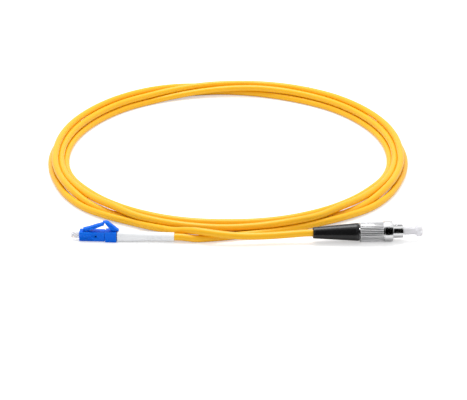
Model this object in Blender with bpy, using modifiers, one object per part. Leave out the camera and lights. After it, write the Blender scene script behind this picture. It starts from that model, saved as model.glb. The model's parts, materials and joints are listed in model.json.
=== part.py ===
"""Simplex fibre optic patch cord, LC plug to FC plug, with its cord laid in a flat four-turn coil.

Sizes are in millimetres below and become metres when a shape is made. Each connector is drawn along
its own +X, from the boot's tail at 0 to the nose, under an empty that places it on the floor.
"""

import math

import bmesh
import bpy
import numpy as np
from mathutils import Matrix, Vector

MM = 0.001

# Clearances between pieces that meet.
FACE_GAP = 0.3  # end face to end face
SLIDE_GAP = 0.15  # a piece in its bore
LOOSE_GAP = 0.25  # a soft or rough piece in its bore

# Cord.
CORD_DIAMETER = 3.4
STRAND_GAP = 0.3  # least clear space between two turns
PITCH = CORD_DIAMETER + STRAND_GAP
RING_RADIUS = 87.0  # middle of the bundle
TURN_POINTS = 24
FIBRE_DIAMETER = 0.9  # buffered fibre inside the connectors
FIBRE_BORE = FIBRE_DIAMETER + 2 * SLIDE_GAP
FIBRE_END_GAP = 1.4  # from the fibre's end to the bottom of the ferrule's socket

# Where the connectors lie, from the middle of the ring: boot tail (x, y) and turn.
LC_TAIL = (-24.9, -92.5)
LC_TURN = 177.0
FC_TAIL = (39.9, -93.0)
FC_TURN = 3.0

# The lay of the four lanes, from the front of the ring (0 degrees) to the back (180), the same on
# both sides: angle, distance outward from RING_RADIUS and height over the floor, both in pitches.
LANES = (
    ((0, 0.2, 0.0), (26, 0.2, 0.0), (41, 0.9, 0.0), (60, 1.1, 0.0), (90, 1.07, 0.0),
     (120, 1.1, 0.0), (150, 1.32, 0.0)),
    ((0, -1.0, 0.0), (26, -0.8, 0.0), (41, -0.02, 0.06), (50, 0.25, 0.38), (60, 0.58, 0.78),
     (75, 0.55, 1.15), (90, 0.36, 1.45), (120, 0.72, 1.48), (135, 1.05, 1.45), (150, 1.35, 1.36)),
    ((0, -0.25, 0.81), (12, -0.05, 0.95), (26, 0.0, 0.97), (41, -0.4, 0.86), (55, -0.45, 0.74),
     (65, -0.42, 0.75), (75, -0.35, 0.8), (90, -0.3, 0.82), (120, 0.0, 0.93), (150, 0.65, 0.95)),
    ((0, -1.25, 1.05), (12, -1.05, 1.0), (26, -1.0, 0.95), (41, -1.38, 0.65), (60, -1.33, 0.45),
     (75, -1.1, 0.16), (90, -0.96, 0.04), (120, -0.36, 0.0), (150, 0.26, 0.0)),
)
# At the back each turn steps from its lane to the next one, from 150 to 210 degrees.
STEP_START = 150
STEP_END = 210
STEPS = (
    ((165, 1.78, 0.1), (180, 2.05, 0.4), (195, 1.95, 0.9)),
    ((165, 1.65, 1.28), (180, 1.48, 1.18), (195, 1.1, 1.08)),
    ((165, 0.7, 0.85), (180, 0.55, 0.7), (195, 0.36, 0.38)),
    ((165, 0.62, 0.0), (180, 1.1, 0.0), (195, 1.33, 0.0)),
)
LOOP_START = 30.0  # the first and last angle laid by the lanes
LOOP_END = 1410.0
# The two leads between a boot and the loops: x, y from the ring's middle, height over the floor.
LC_LEAD = ((-15.0, -93.05, 0.6), (-8.0, -93.0, 0.12), (0.0, -91.8, 0.0), (10.0, -89.2, 0.0),
           (22.0, -85.0, 0.0), (34.0, -80.8, 0.0))
FC_LEAD = ((-38.0, -79.5, 0.1), (-31.0, -83.5, 0.6), (-25.0, -86.8, 1.4), (-20.0, -88.9, 2.2),
           (-15.0, -90.9, 3.1), (-10.0, -92.6, 3.7), (-4.0, -94.1, 3.7), (3.0, -95.1, 3.1),
           (12.0, -95.4, 2.5), (22.0, -94.8, 2.4), (30.0, -93.9, 2.8))
SETTLE_ROUNDS = 150
SETTLE_SAMPLES = 4  # places tried on each straight between two points

# LC plug.
LC_NOSE_SIDE = 4.52
LC_NOSE_END = 44.6
LC_SHOULDER = 32.7
LC_BODY_SIDE = 5.1
LC_BODY_START = 27.0
LC_AXIS_HEIGHT = LC_BODY_SIDE / 2
LC_WALL_BACK = 40.3
LC_WALL_FRONT = 41.5
LC_CAVITY_RADIUS = 1.6
LC_RECESS_RADIUS = 1.75
LC_WALL_BORE = 1.0
LC_TONGUE_START = 30.2
LC_TONGUE_SIDE = 4.0
LC_POCKET_START = 28.6
LC_POCKET_SIDE = LC_TONGUE_SIDE + 0.4
LC_POST_START = 14.0
LC_POST_RADIUS = 1.3
LC_SEAT = 29.9
LC_FLANGE_START = 37.3
LC_FLANGE_RADIUS = LC_CAVITY_RADIUS - 0.2
LC_SOCKET = 37.9
LC_STEM_START = 34.5
LC_STEM_RADIUS = 0.8
LC_FERRULE_DIAMETER = 1.25
LC_FERRULE_END = 47.6
LC_SPRING_RADIUS = 1.1
LC_SPRING_WIRE = 0.25
LC_SPRING_TURNS = 7
CURL_POINTS = 10  # points on each turn of a spring
LC_CRIMP = (15.0, 24.5)
LC_CRIMP_WALL = 0.25
LC_BOOT_TAIL_RADIUS = 2.25
LC_BOOT_CAVITY_RADIUS = 2.1
LC_BOOT_ROUND = 14.0  # from the front face back to where the boot is round
LC_BOOT_GROOVES = 4
LC_BOOT_GROOVE_START = 5.0  # middle of the groove nearest the tail
LC_BOOT_GROOVE_STEP = 1.7
LC_BOOT_GROOVE_WIDTH = 0.4
LC_BOOT_GROOVE_DEPTH = 0.2
LC_CAP_RADIUS = 1.5
LC_CAP_END = 48.6
LC_CAP_WALL = 0.6
LC_LATCH_WIDTH = 2.4
LC_LATCH_SHOULDERS = 3.8  # over both lugs
LC_PIN_RADIUS = 0.45
LC_LATCH_AXIS = (42.4, 2.75)  # along the plug, over its axis
LC_TRIGGER_AXIS = (29.2, 3.1)
LC_WINDOW = ((36.3, -0.25), (37.2, 0.65))  # low and high corners, along the plug and up

# FC plug.
FC_AXIS_HEIGHT = 4.9
FC_BOOT_END = 21.6
FC_BOOT_TAIL_RADIUS = 2.65
FC_BOOT_END_RADIUS = 4.25
FC_BOOT_CAVITY = 9.5
FC_BOOT_CAVITY_RADIUS = 2.6
FC_POST_START = 11.0
FC_POST_END = 18.0
FC_POST_RADIUS = 1.7
FC_NECK_RADIUS = 2.3
FC_CRIMP = (9.8, 17.5)
FC_CRIMP_WALL = 0.35
FC_STEM_START = FC_BOOT_END + FACE_GAP
FC_STEM_RADIUS = 2.95
FC_STEM_END = 27.2
FC_SPRING_SEAT = 22.0
FC_CAVITY_RADIUS = 2.2
FC_FRAME_START = FC_STEM_END + FACE_GAP
FC_FRAME_RADIUS = 3.25
FC_FRAME_END = 42.4
FC_SPIGOT_START = 25.5
FC_SPIGOT_RADIUS = 2.45
FC_WALL_BACK = 34.3
FC_WALL_FRONT = 35.5
FC_WALL_BORE = 1.6
FC_KEY_WIDTH = 2.0
FC_KEY_RADIUS = 3.55
FC_NUT_END = 37.4
FC_NUT_WALL = 1.5
FC_NUT_BORE = 3.75
FC_KNURL_END = 32.9
FC_KNURL_RADIUS = 4.8
FC_KNURL_DEPTH = 0.25
FC_KNURL_RIDGES = 36
FC_COLLAR_RADIUS = FC_AXIS_HEIGHT
FC_SPACER = (23.6, 24.2)
FC_FLANGE_RADIUS = FC_CAVITY_RADIUS - 0.25
FC_FLANGE_START = 30.0
FC_SOCKET = 31.5
FC_FLANGE_STEM_START = 27.0
FC_FLANGE_STEM_RADIUS = 1.4
FC_FERRULE_DIAMETER = 2.5
FC_FERRULE_END = 46.5
FC_SPRING_RADIUS = 1.8
FC_SPRING_WIRE = 0.4
FC_SPRING_TURNS = 5
FC_CAP_START = 38.0
FC_CAP_STEM_RADIUS = 1.9
FC_CAP_FLANGE_START = 48.6
FC_CAP_FLANGE_RADIUS = 2.9
FC_CAP_END = 51.4
FC_CAP_WALL = 1.0

COLOURS = {
    "cord_yellow": ((0.89, 0.46, 0.03), 0.0, 0.45),
    "plug_blue": ((0.004, 0.138, 0.86), 0.0, 0.35),
    "boot_white": ((0.86, 0.88, 0.9), 0.0, 0.45),
    "boot_black": ((0.01, 0.01, 0.011), 0.0, 0.3),
    "cap_clear": ((0.9, 0.91, 0.92), 0.0, 0.3),
    "zirconia": ((0.93, 0.92, 0.88), 0.0, 0.2),
    "nickel": ((0.66, 0.66, 0.67), 1.0, 0.22),
    "spring_steel": ((0.55, 0.56, 0.58), 1.0, 0.3),
    "brass": ((0.72, 0.52, 0.22), 1.0, 0.3),
    "fibre_buffer": ((0.85, 0.84, 0.78), 0.0, 0.5),
    "fibre_washer": ((0.06, 0.06, 0.065), 0.0, 0.6),
}


def clear_scene():
    for obj in list(bpy.data.objects):
        bpy.data.objects.remove(obj)


def make_collection(name, hidden=False):
    collection = bpy.data.collections.new(name)
    collection.hide_render = hidden
    bpy.context.scene.collection.children.link(collection)
    return collection


def make_material(name, kind):
    colour, metallic, roughness = COLOURS[kind]
    material = bpy.data.materials.new(name + "_" + kind)
    material.use_nodes = True
    shader = material.node_tree.nodes["Principled BSDF"]
    shader.inputs["Base Color"].default_value = (*colour, 1.0)
    shader.inputs["Metallic"].default_value = metallic
    shader.inputs["Roughness"].default_value = roughness
    material.diffuse_color = (*colour, 1.0)
    return material


class Builder:
    """Makes objects in the two collections of the object and under the empties that place them."""

    def __init__(self):
        self.nodes = make_collection("fibre_optic_patch_cord")
        self.cutters = make_collection("patch_cord_cutters", hidden=True)

    def empty(self, name, parent, location=(0.0, 0.0, 0.0), turn=0.0):
        obj = bpy.data.objects.new(name, None)
        obj.empty_display_size = 0.004
        obj.location = Vector(location) * MM
        obj.rotation_euler = (0.0, 0.0, math.radians(turn))
        obj.parent = parent
        self.nodes.objects.link(obj)
        return obj

    def add(self, name, mesh, parent, kind=None, smooth=False):
        """Links a mesh under its parent: a node when it has a kind of material, else a helper shape."""
        obj = bpy.data.objects.new(name, mesh)
        obj.parent = parent
        if kind is None:
            obj.hide_render = True
            obj.display_type = "WIRE"
            self.cutters.objects.link(obj)
        else:
            mesh.materials.append(make_material(name, kind))
            self.nodes.objects.link(obj)
        if smooth:
            mesh.shade_smooth()
            mesh.set_sharp_from_angle(angle=math.radians(35))
        return obj

    def turned(self, name, profile, parent, kind=None, steps=32):
        """Turns a profile of (along, radius) points round the plug's axis, from its nose end along
        the outer side to the tail and back through the bore. An open profile ends on the axis."""
        on_axis = profile[0][1] == 0.0
        verts = [(radius * MM, 0.0, along * MM) for along, radius in profile]
        edges = [(i, i + 1) for i in range(len(verts) - 1)]
        if not on_axis:
            edges.append((len(verts) - 1, 0))
        mesh = bpy.data.meshes.new(name)
        mesh.from_pydata(verts, edges, [])
        obj = self.add(name, mesh, parent, kind)
        obj.rotation_euler = (0.0, math.radians(90), 0.0)
        screw = obj.modifiers.new("Turn", "SCREW")
        screw.axis = "Z"
        screw.steps = steps
        screw.render_steps = steps
        screw.use_merge_vertices = True
        screw.merge_threshold = 1e-6
        screw.use_smooth_shade = False
        return obj

    def block(self, name, low, high, parent, kind=None, chamfer=0.0):
        mesh = bpy.data.meshes.new(name)
        shape = bmesh.new()
        bmesh.ops.create_cube(shape, size=1.0)
        size = [(b - a) * MM for a, b in zip(low, high)]
        middle = [(a + b) / 2 * MM for a, b in zip(low, high)]
        bmesh.ops.scale(shape, vec=size, verts=shape.verts)
        bmesh.ops.translate(shape, vec=middle, verts=shape.verts)
        if chamfer:
            bmesh.ops.bevel(shape, geom=shape.edges[:], offset=chamfer * MM, segments=1,
                            affect="EDGES", profile=0.5)
        shape.to_mesh(mesh)
        shape.free()
        return self.add(name, mesh, parent, kind)

    def pin(self, name, axis, radius, length, parent):
        """A cylinder across the plug, at (along, over the axis), used to join or to cut."""
        mesh = bpy.data.meshes.new(name)
        shape = bmesh.new()
        place = Matrix.Translation((axis[0] * MM, 0.0, axis[1] * MM))
        turn = Matrix.Rotation(math.radians(90), 4, "X")
        bmesh.ops.create_cone(shape, cap_ends=True, segments=24, radius1=radius * MM,
                              radius2=radius * MM, depth=length * MM, matrix=place @ turn)
        shape.to_mesh(mesh)
        shape.free()
        return self.add(name, mesh, parent)

    def plate(self, name, outline, width, parent, kind=None, chamfer=0.0):
        """A flat outline of (along, over) points, spread to a width across the plug."""
        mesh = bpy.data.meshes.new(name)
        shape = bmesh.new()
        verts = [shape.verts.new((x * MM, -width / 2 * MM, z * MM)) for x, z in outline]
        face = shape.faces.new(verts)
        grown = bmesh.ops.extrude_face_region(shape, geom=[face])
        moved = [item for item in grown["geom"] if isinstance(item, bmesh.types.BMVert)]
        bmesh.ops.translate(shape, vec=(0.0, width * MM, 0.0), verts=moved)
        bmesh.ops.recalc_face_normals(shape, faces=shape.faces[:])
        if chamfer:
            long_edges = [edge for edge in shape.edges if len({v.co.y > 0 for v in edge.verts}) == 1]
            bmesh.ops.bevel(shape, geom=long_edges, offset=chamfer * MM, segments=1,
                            affect="EDGES", profile=0.5)
        shape.to_mesh(mesh)
        shape.free()
        return self.add(name, mesh, parent, kind)

    def loft(self, name, rings, parent, kind):
        """Closed surface through rings of (along, [(across, over), ...]), back to the first ring."""
        mesh = bpy.data.meshes.new(name)
        shape = bmesh.new()
        rows = [[shape.verts.new((x * MM, y * MM, z * MM)) for y, z in ring] for x, ring in rings]
        count = len(rows[0])
        for row, after in zip(rows, rows[1:] + rows[:1]):
            for i in range(count):
                j = (i + 1) % count
                shape.faces.new((row[i], row[j], after[j], after[i]))
        bmesh.ops.recalc_face_normals(shape, faces=shape.faces[:])
        shape.to_mesh(mesh)
        shape.free()
        return self.add(name, mesh, parent, kind, smooth=True)

    def tube(self, name, points, diameter, parent, kind):
        """A round tube of six sides through the points, as one unbroken curve."""
        curve = bpy.data.curves.new(name, "CURVE")
        curve.dimensions = "3D"
        curve.bevel_depth = diameter / 2 * MM
        curve.bevel_resolution = 1
        curve.use_fill_caps = True
        spline = curve.splines.new("POLY")
        spline.points.add(len(points) - 1)
        for point, place in zip(spline.points, points):
            point.co = (*[value * MM for value in place], 1.0)
        curve.materials.append(make_material(name, kind))
        obj = bpy.data.objects.new(name, curve)
        obj.parent = parent
        self.nodes.objects.link(obj)
        return obj

    def combine(self, target, other, operation):
        modifier = target.modifiers.new(other.name, "BOOLEAN")
        modifier.operation = operation
        modifier.solver = "EXACT"
        modifier.object = other

    def cut(self, target, *others):
        for other in others:
            self.combine(target, other, "DIFFERENCE")

    def join(self, target, *others):
        for other in others:
            self.combine(target, other, "UNION")


def rounded(half, power, count=32):
    """Outline between a circle (power 2) and a square with round corners (a high power)."""
    ring = []
    for i in range(count):
        angle = 2 * math.pi * (i + 0.5) / count
        y = math.copysign(abs(math.cos(angle)) ** (2 / power), math.cos(angle))
        z = math.copysign(abs(math.sin(angle)) ** (2 / power), math.sin(angle))
        ring.append((half * y, half * z))
    return ring


def knurled(radius, depth, ridges):
    """Outline of a straight knurl: a ridge and a valley in turn."""
    ring = []
    for i in range(2 * ridges):
        angle = math.pi * i / ridges
        here = radius - (depth if i % 2 else 0.0)
        ring.append((here * math.cos(angle), here * math.sin(angle)))
    return ring


def smooth_between(stations, angle):
    """Height-preserving cubic through (angle, out, up) stations, level at both ends."""
    table = np.array(stations, float)
    x = table[:, 0]
    step = np.diff(x)
    k = int(np.clip(np.searchsorted(x, angle, side="right") - 1, 0, len(x) - 2))
    t = (angle - x[k]) / step[k]
    found = []
    for column in (1, 2):
        y = table[:, column]
        rise = np.diff(y) / step
        slope = np.zeros(len(x))
        for i in range(1, len(x) - 1):
            if rise[i - 1] * rise[i] > 0:
                near = 2 * step[i] + step[i - 1]
                far = step[i] + 2 * step[i - 1]
                slope[i] = (near + far) / (near / rise[i - 1] + far / rise[i])
        found.append(
            (2 * t**3 - 3 * t**2 + 1) * y[k] + (t**3 - 2 * t**2 + t) * step[k] * slope[k]
            + (3 * t**2 - 2 * t**3) * y[k + 1] + (t**3 - t**2) * step[k] * slope[k + 1])
    return found


def lane_place(lane, angle):
    stations = LANES[lane % len(LANES)]
    ends = [(0.0, *stations[0][1:])] if stations[0][0] else []
    return smooth_between([*ends, *stations], min(angle, 360.0 - angle))


def loop_point(angle):
    """Point of the coil's middle line at an angle counted on over all the turns."""
    lane = int(angle // 360)
    here = angle - 360 * lane
    if here <= STEP_START:
        out, up = lane_place(lane, here)
    elif here >= STEP_END:
        out, up = lane_place(lane + 1, here)
    else:
        start = (STEP_START, *lane_place(lane, STEP_START))
        end = (STEP_END, *lane_place(lane + 1, STEP_END))
        out, up = smooth_between([start, *STEPS[lane % len(STEPS)], end], here)
    radius = RING_RADIUS + out * PITCH
    turn = math.radians(angle)
    return (radius * math.sin(turn), -radius * math.cos(turn), CORD_DIAMETER / 2 + up * PITCH)


def plug_point(tail, turn, height, along):
    """Point on a plug's axis in the ring's frame, a distance forward of the boot's tail."""
    angle = math.radians(turn)
    return (tail[0] + along * math.cos(angle), tail[1] + along * math.sin(angle), height)


def cord_points():
    """Middle line of the whole cord, from the LC crimp round the loops to the FC crimp."""
    lc = [plug_point(LC_TAIL, LC_TURN, LC_AXIS_HEIGHT, along)
          for along in (LC_POST_START - FACE_GAP, 7.0, 0.0, -CORD_DIAMETER)]
    fc = [plug_point(FC_TAIL, FC_TURN, FC_AXIS_HEIGHT, along)
          for along in (-CORD_DIAMETER, 0.0, 5.0, FC_POST_START - FACE_GAP)]
    floor = CORD_DIAMETER / 2
    leads = [[(x, y, floor + up) for x, y, up in lead] for lead in (LC_LEAD, FC_LEAD)]
    angles = np.arange(LOOP_START, LOOP_END + 1, 360 / TURN_POINTS)
    loops = [loop_point(float(angle)) for angle in angles]
    return np.array([*lc, *leads[0], *loops, *leads[1], *fc])


def distances_along(points):
    return np.concatenate([[0.0], np.cumsum(np.linalg.norm(np.diff(points, axis=0), axis=1))])


def settle(points, fixed):
    """Eases the turns apart where two lie closer than a pitch, keeping them on the floor."""
    points = points.copy()
    owner = np.repeat(np.arange(len(points) - 1), SETTLE_SAMPLES)
    part = np.tile(np.arange(SETTLE_SAMPLES) / SETTLE_SAMPLES, len(points) - 1)[:, None]
    for _ in range(SETTLE_ROUNDS):
        run = distances_along(points)
        starts, along = points[:-1], np.diff(points, axis=0)
        samples = starts[owner] + part * along[owner]
        marks = run[owner] + part[:, 0] * np.diff(run)[owner]
        offset = samples[:, None] - starts[None]
        t = np.clip((offset * along).sum(2) / (along**2).sum(1), 0.0, 1.0)
        away = offset - t[..., None] * along
        gap = np.linalg.norm(away, axis=2)
        distant = np.abs(run[:-1] + t * np.diff(run) - marks[:, None]) > 12 * CORD_DIAMETER
        i, j = np.nonzero((gap < PITCH) & distant)
        push = away[i, j] * ((PITCH / gap[i, j] - 1) / 2)[:, None]
        shift = np.zeros_like(points)
        weight = np.full((len(points), 1), 1e-9)
        for index, share, side in ((owner[i], 1 - part[i], 1), (owner[i] + 1, part[i], 1),
                                   (j, 1 - t[i, j][:, None], -1), (j + 1, t[i, j][:, None], -1)):
            np.add.at(shift, index, side * push * share)
            np.add.at(weight, index, share)
        shift[:fixed] = 0.0
        shift[-fixed:] = 0.0
        points += shift / np.maximum(weight, 1.0)
        points[:, 2] = np.maximum(points[:, 2], CORD_DIAMETER / 2)
    return points


def least_gap(points):
    """Least clear space between two stretches of the cord, measured on points 1 mm apart."""
    run = distances_along(points)
    marks = np.linspace(0.0, run[-1], int(run[-1]))
    fine = np.stack([np.interp(marks, run, points[:, axis]) for axis in range(3)], axis=1)
    least = math.inf
    for i in range(0, len(fine), 1):
        far = np.abs(marks - marks[i]) > 12 * CORD_DIAMETER
        least = min(least, float(np.linalg.norm(fine[far] - fine[i], axis=1).min()))
    return least - CORD_DIAMETER


def build_cord(make, ring):
    points = settle(cord_points(), fixed=4)
    make.tube("cord_coil", points, CORD_DIAMETER, ring, "cord_yellow")
    print(f"cord: {len(points)} points, length {distances_along(points)[-1]:.1f} mm,"
          f" least gap to itself {least_gap(points):.2f} mm")


def lc_shell(make, plug):
    """Front housing, with its tongue in the rear body."""
    half = LC_NOSE_SIDE / 2
    housing = make.block("lc_housing", (LC_SHOULDER, -half, -half), (LC_NOSE_END, half, half),
                         plug, "plug_blue", chamfer=0.2)
    tongue = LC_TONGUE_SIDE / 2
    make.join(housing, make.block("lc_tongue", (LC_TONGUE_START, -tongue, -tongue),
                                  (LC_SHOULDER + 1.0, tongue, tongue), plug))
    bore = make.turned("lc_housing_bore", [
        (LC_NOSE_END + 1, 0.0), (LC_NOSE_END + 1, LC_RECESS_RADIUS),
        (LC_WALL_FRONT, LC_RECESS_RADIUS), (LC_WALL_FRONT, LC_WALL_BORE),
        (LC_WALL_BACK, LC_WALL_BORE), (LC_WALL_BACK, LC_CAVITY_RADIUS),
        (LC_TONGUE_START - 1, LC_CAVITY_RADIUS), (LC_TONGUE_START - 1, 0.0)], plug)
    (window_back, window_low), (window_front, window_high) = LC_WINDOW
    window = make.block("lc_window", (window_back, -LC_NOSE_SIDE, window_low),
                        (window_front, LC_NOSE_SIDE, window_high), plug)
    groove = make.pin("lc_latch_groove", LC_LATCH_AXIS, LC_PIN_RADIUS + FACE_GAP,
                      LC_NOSE_SIDE + 2, plug)
    make.cut(housing, bore, window, groove)
    half = LC_BODY_SIDE / 2
    body = make.block("lc_rear_body", (LC_BODY_START, -half, -half),
                      (LC_SHOULDER - FACE_GAP, half, half), plug, "plug_blue", chamfer=0.2)
    pocket = LC_POCKET_SIDE / 2
    space = make.block("lc_pocket", (LC_POCKET_START, -pocket, -pocket),
                       (LC_SHOULDER + 1, pocket, pocket), plug)
    radius = LC_POST_RADIUS + FACE_GAP
    bore = make.turned("lc_body_bore", [
        (LC_POCKET_START + 1, 0.0), (LC_POCKET_START + 1, radius), (LC_BODY_START - 1, radius),
        (LC_BODY_START - 1, 0.0)], plug)
    groove = make.pin("lc_trigger_groove", LC_TRIGGER_AXIS, LC_PIN_RADIUS + FACE_GAP,
                      LC_BODY_SIDE + 2, plug)
    make.cut(body, space, bore, groove)


def lc_levers(make, plug):
    """Latch arm and trigger, each with its origin on its own pin."""
    x, z = LC_LATCH_AXIS
    axis = make.empty("lc_latch_axis", plug, (x, 0.0, z))
    outline = [(0.4, -0.1), (0.35, 0.35), (-2.6, 1.35), (-5.9, 2.75), (-8.8, 3.7), (-9.6, 3.7),
               (-9.6, 2.8), (-8.8, 2.75), (-5.8, 1.6), (-2.7, 0.4), (-0.4, -0.25)]
    latch = make.plate("lc_latch", outline, LC_LATCH_WIDTH, axis, "plug_blue")
    shoulder = make.plate("lc_latch_shoulders",
                          [(-2.9, 0.6), (-2.9, 1.2), (-4.4, 1.85), (-4.4, 1.15)],
                          LC_LATCH_SHOULDERS, axis)
    make.join(latch, make.pin("lc_latch_pin", (0.0, 0.0), LC_PIN_RADIUS, LC_LATCH_WIDTH, axis),
              shoulder)
    x, z = LC_TRIGGER_AXIS
    axis = make.empty("lc_trigger_axis", plug, (x, 0.0, z))
    outline = [(4.3, 3.7), (4.3, 4.0), (2.8, 4.3), (2.1, 4.1), (-2.3, 0.35), (-2.9, -0.1),
               (-2.8, -0.25), (-1.4, 0.05), (-0.4, -0.2), (0.4, -0.2), (0.7, 0.6), (2.7, 3.2),
               (3.0, 3.7)]
    trigger = make.plate("lc_trigger", outline, LC_LATCH_WIDTH, axis, "plug_blue")
    make.join(trigger, make.pin("lc_trigger_pin", (0.0, 0.0), LC_PIN_RADIUS, LC_LATCH_WIDTH, axis))


def lc_train(make, plug):
    """What lies on the LC plug's axis: cap, ferrule, flange, spring, spring push, crimp, fibre."""
    radius = LC_FERRULE_DIAMETER / 2
    bore = radius + SLIDE_GAP
    make.turned("lc_dust_cap", [
        (LC_CAP_END, 0.0), (LC_CAP_END, LC_CAP_RADIUS - 0.2), (LC_CAP_END - 0.2, LC_CAP_RADIUS),
        (LC_WALL_FRONT + 0.5, LC_CAP_RADIUS), (LC_WALL_FRONT + 0.5, bore),
        (LC_CAP_END - LC_CAP_WALL, bore), (LC_CAP_END - LC_CAP_WALL, 0.0)],
        plug, "cap_clear")
    start = LC_SOCKET + FACE_GAP
    make.turned("lc_ferrule", [
        (LC_FERRULE_END, 0.0), (LC_FERRULE_END, radius - 0.2), (LC_FERRULE_END - 0.2, radius),
        (start, radius), (start, 0.0)], plug, "zirconia", steps=24)
    front = LC_WALL_BACK - FACE_GAP
    make.turned("lc_ferrule_flange", [
        (front, LC_FLANGE_RADIUS), (LC_FLANGE_START, LC_FLANGE_RADIUS),
        (LC_FLANGE_START, LC_STEM_RADIUS), (LC_STEM_START, LC_STEM_RADIUS),
        (LC_STEM_START, FIBRE_BORE / 2), (LC_SOCKET, FIBRE_BORE / 2), (LC_SOCKET, bore),
        (front, bore)], plug, "brass", steps=24)
    spring_tube(make, "lc_spring", LC_SEAT + FACE_GAP, LC_FLANGE_START - FACE_GAP,
                LC_SPRING_RADIUS, LC_SPRING_WIRE, LC_SPRING_TURNS, plug)
    disc = LC_POCKET_SIDE / 2 - FACE_GAP
    make.turned("lc_spring_push", [
        (LC_SEAT, disc), (LC_SEAT - 1.0, disc), (LC_SEAT - 1.0, LC_POST_RADIUS),
        (LC_POST_START, LC_POST_RADIUS), (LC_POST_START, FIBRE_BORE / 2),
        (LC_SEAT, FIBRE_BORE / 2)], plug, "nickel", steps=24)
    inner = LC_POST_RADIUS + FACE_GAP
    make.turned("lc_crimp_sleeve", ring_profile(*LC_CRIMP, inner, inner + LC_CRIMP_WALL),
                plug, "nickel", steps=24)
    fibre_rod(make, "lc_buffered_fibre", LC_POST_START, LC_SOCKET - FIBRE_END_GAP, plug)


def lc_boot(make, plug):
    """Strain relief boot: square at the body, round and grooved at the tail, where it bends."""
    front = LC_BODY_START - FACE_GAP
    cord_bore = CORD_DIAMETER / 2 + LOOSE_GAP
    half = LC_BODY_SIDE / 2
    tail = LC_BOOT_TAIL_RADIUS
    round_from = front - LC_BOOT_ROUND
    rings = [(front, rounded(half - 0.05, 4)), (front - 3.0, rounded(half - 0.05, 3.2)),
             (front - 8.0, rounded(half - 0.1, 2.5)), (round_from, rounded(tail + 0.1, 2.1))]
    for i in reversed(range(LC_BOOT_GROOVES)):
        middle = LC_BOOT_GROOVE_START + i * LC_BOOT_GROOVE_STEP
        share = middle / round_from
        outer = tail + 0.1 * share
        for along, radius in ((0.5, outer), (0.5, outer - LC_BOOT_GROOVE_DEPTH),
                              (-0.5, outer - LC_BOOT_GROOVE_DEPTH), (-0.5, outer)):
            rings.append((middle + along * LC_BOOT_GROOVE_WIDTH, rounded(radius, 2 + 0.1 * share)))
    rings += [(0.0, rounded(tail, 2)), (0.0, rounded(cord_bore, 2)),
              (LC_POST_START, rounded(cord_bore, 2)),
              (LC_POST_START, rounded(LC_BOOT_CAVITY_RADIUS, 2)),
              (front, rounded(LC_BOOT_CAVITY_RADIUS, 2))]
    make.loft("lc_boot", rings, plug, "boot_white")


def ring_profile(start, end, inner, outer):
    return [(end, outer), (start, outer), (start, inner), (end, inner)]


def fibre_rod(make, name, start, end, plug):
    radius = FIBRE_DIAMETER / 2
    make.turned(name, [(end, 0.0), (end, radius), (start, radius), (start, 0.0)], plug,
                "fibre_buffer", steps=12)


def spring_tube(make, name, start, end, radius, wire, turns, plug):
    """Compression spring along the plug's axis, held clear of both seats."""
    low = start + wire / 2
    high = end - wire / 2
    count = CURL_POINTS * turns
    points = [(low + (high - low) * i / count, radius * math.cos(2 * math.pi * i / CURL_POINTS),
               radius * math.sin(2 * math.pi * i / CURL_POINTS)) for i in range(count + 1)]
    make.tube(name, points, wire, plug, "spring_steel")


def fc_nut(make, plug):
    """Knurled coupling nut and the spacer that runs inside it."""
    back = FC_STEM_START
    wall = back + FC_NUT_WALL
    count = 2 * FC_KNURL_RIDGES
    knurl = knurled(FC_KNURL_RADIUS, FC_KNURL_DEPTH, FC_KNURL_RIDGES)
    groove = FC_KNURL_RADIUS - FC_KNURL_DEPTH - 0.1
    inner = FC_STEM_RADIUS + SLIDE_GAP

    def circle(radius):
        return [(radius * math.cos(2 * math.pi * i / count),
                 radius * math.sin(2 * math.pi * i / count)) for i in range(count)]

    axis = make.empty("fc_nut_axis", plug, (back, 0.0, 0.0))
    rings = [(FC_NUT_END, circle(FC_COLLAR_RADIUS - 0.4)),
             (FC_NUT_END - 0.4, circle(FC_COLLAR_RADIUS)),
             (FC_KNURL_END + 0.5, circle(FC_COLLAR_RADIUS)),
             (FC_KNURL_END + 0.3, circle(groove)), (FC_KNURL_END, circle(groove)),
             (FC_KNURL_END - 0.2, knurl), (back + 0.3, knurl), (back, circle(groove)),
             (back, circle(inner)), (wall, circle(inner)), (wall, circle(FC_NUT_BORE)),
             (FC_NUT_END, circle(FC_NUT_BORE))]
    rings = [(along - back, ring) for along, ring in rings]
    make.loft("fc_coupling_nut", rings, axis, "nickel")
    start, end = FC_SPACER
    make.turned("fc_nut_spacer", ring_profile(start - back, end - back, inner, FC_NUT_BORE - 0.2),
                axis, "fibre_washer")


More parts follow.
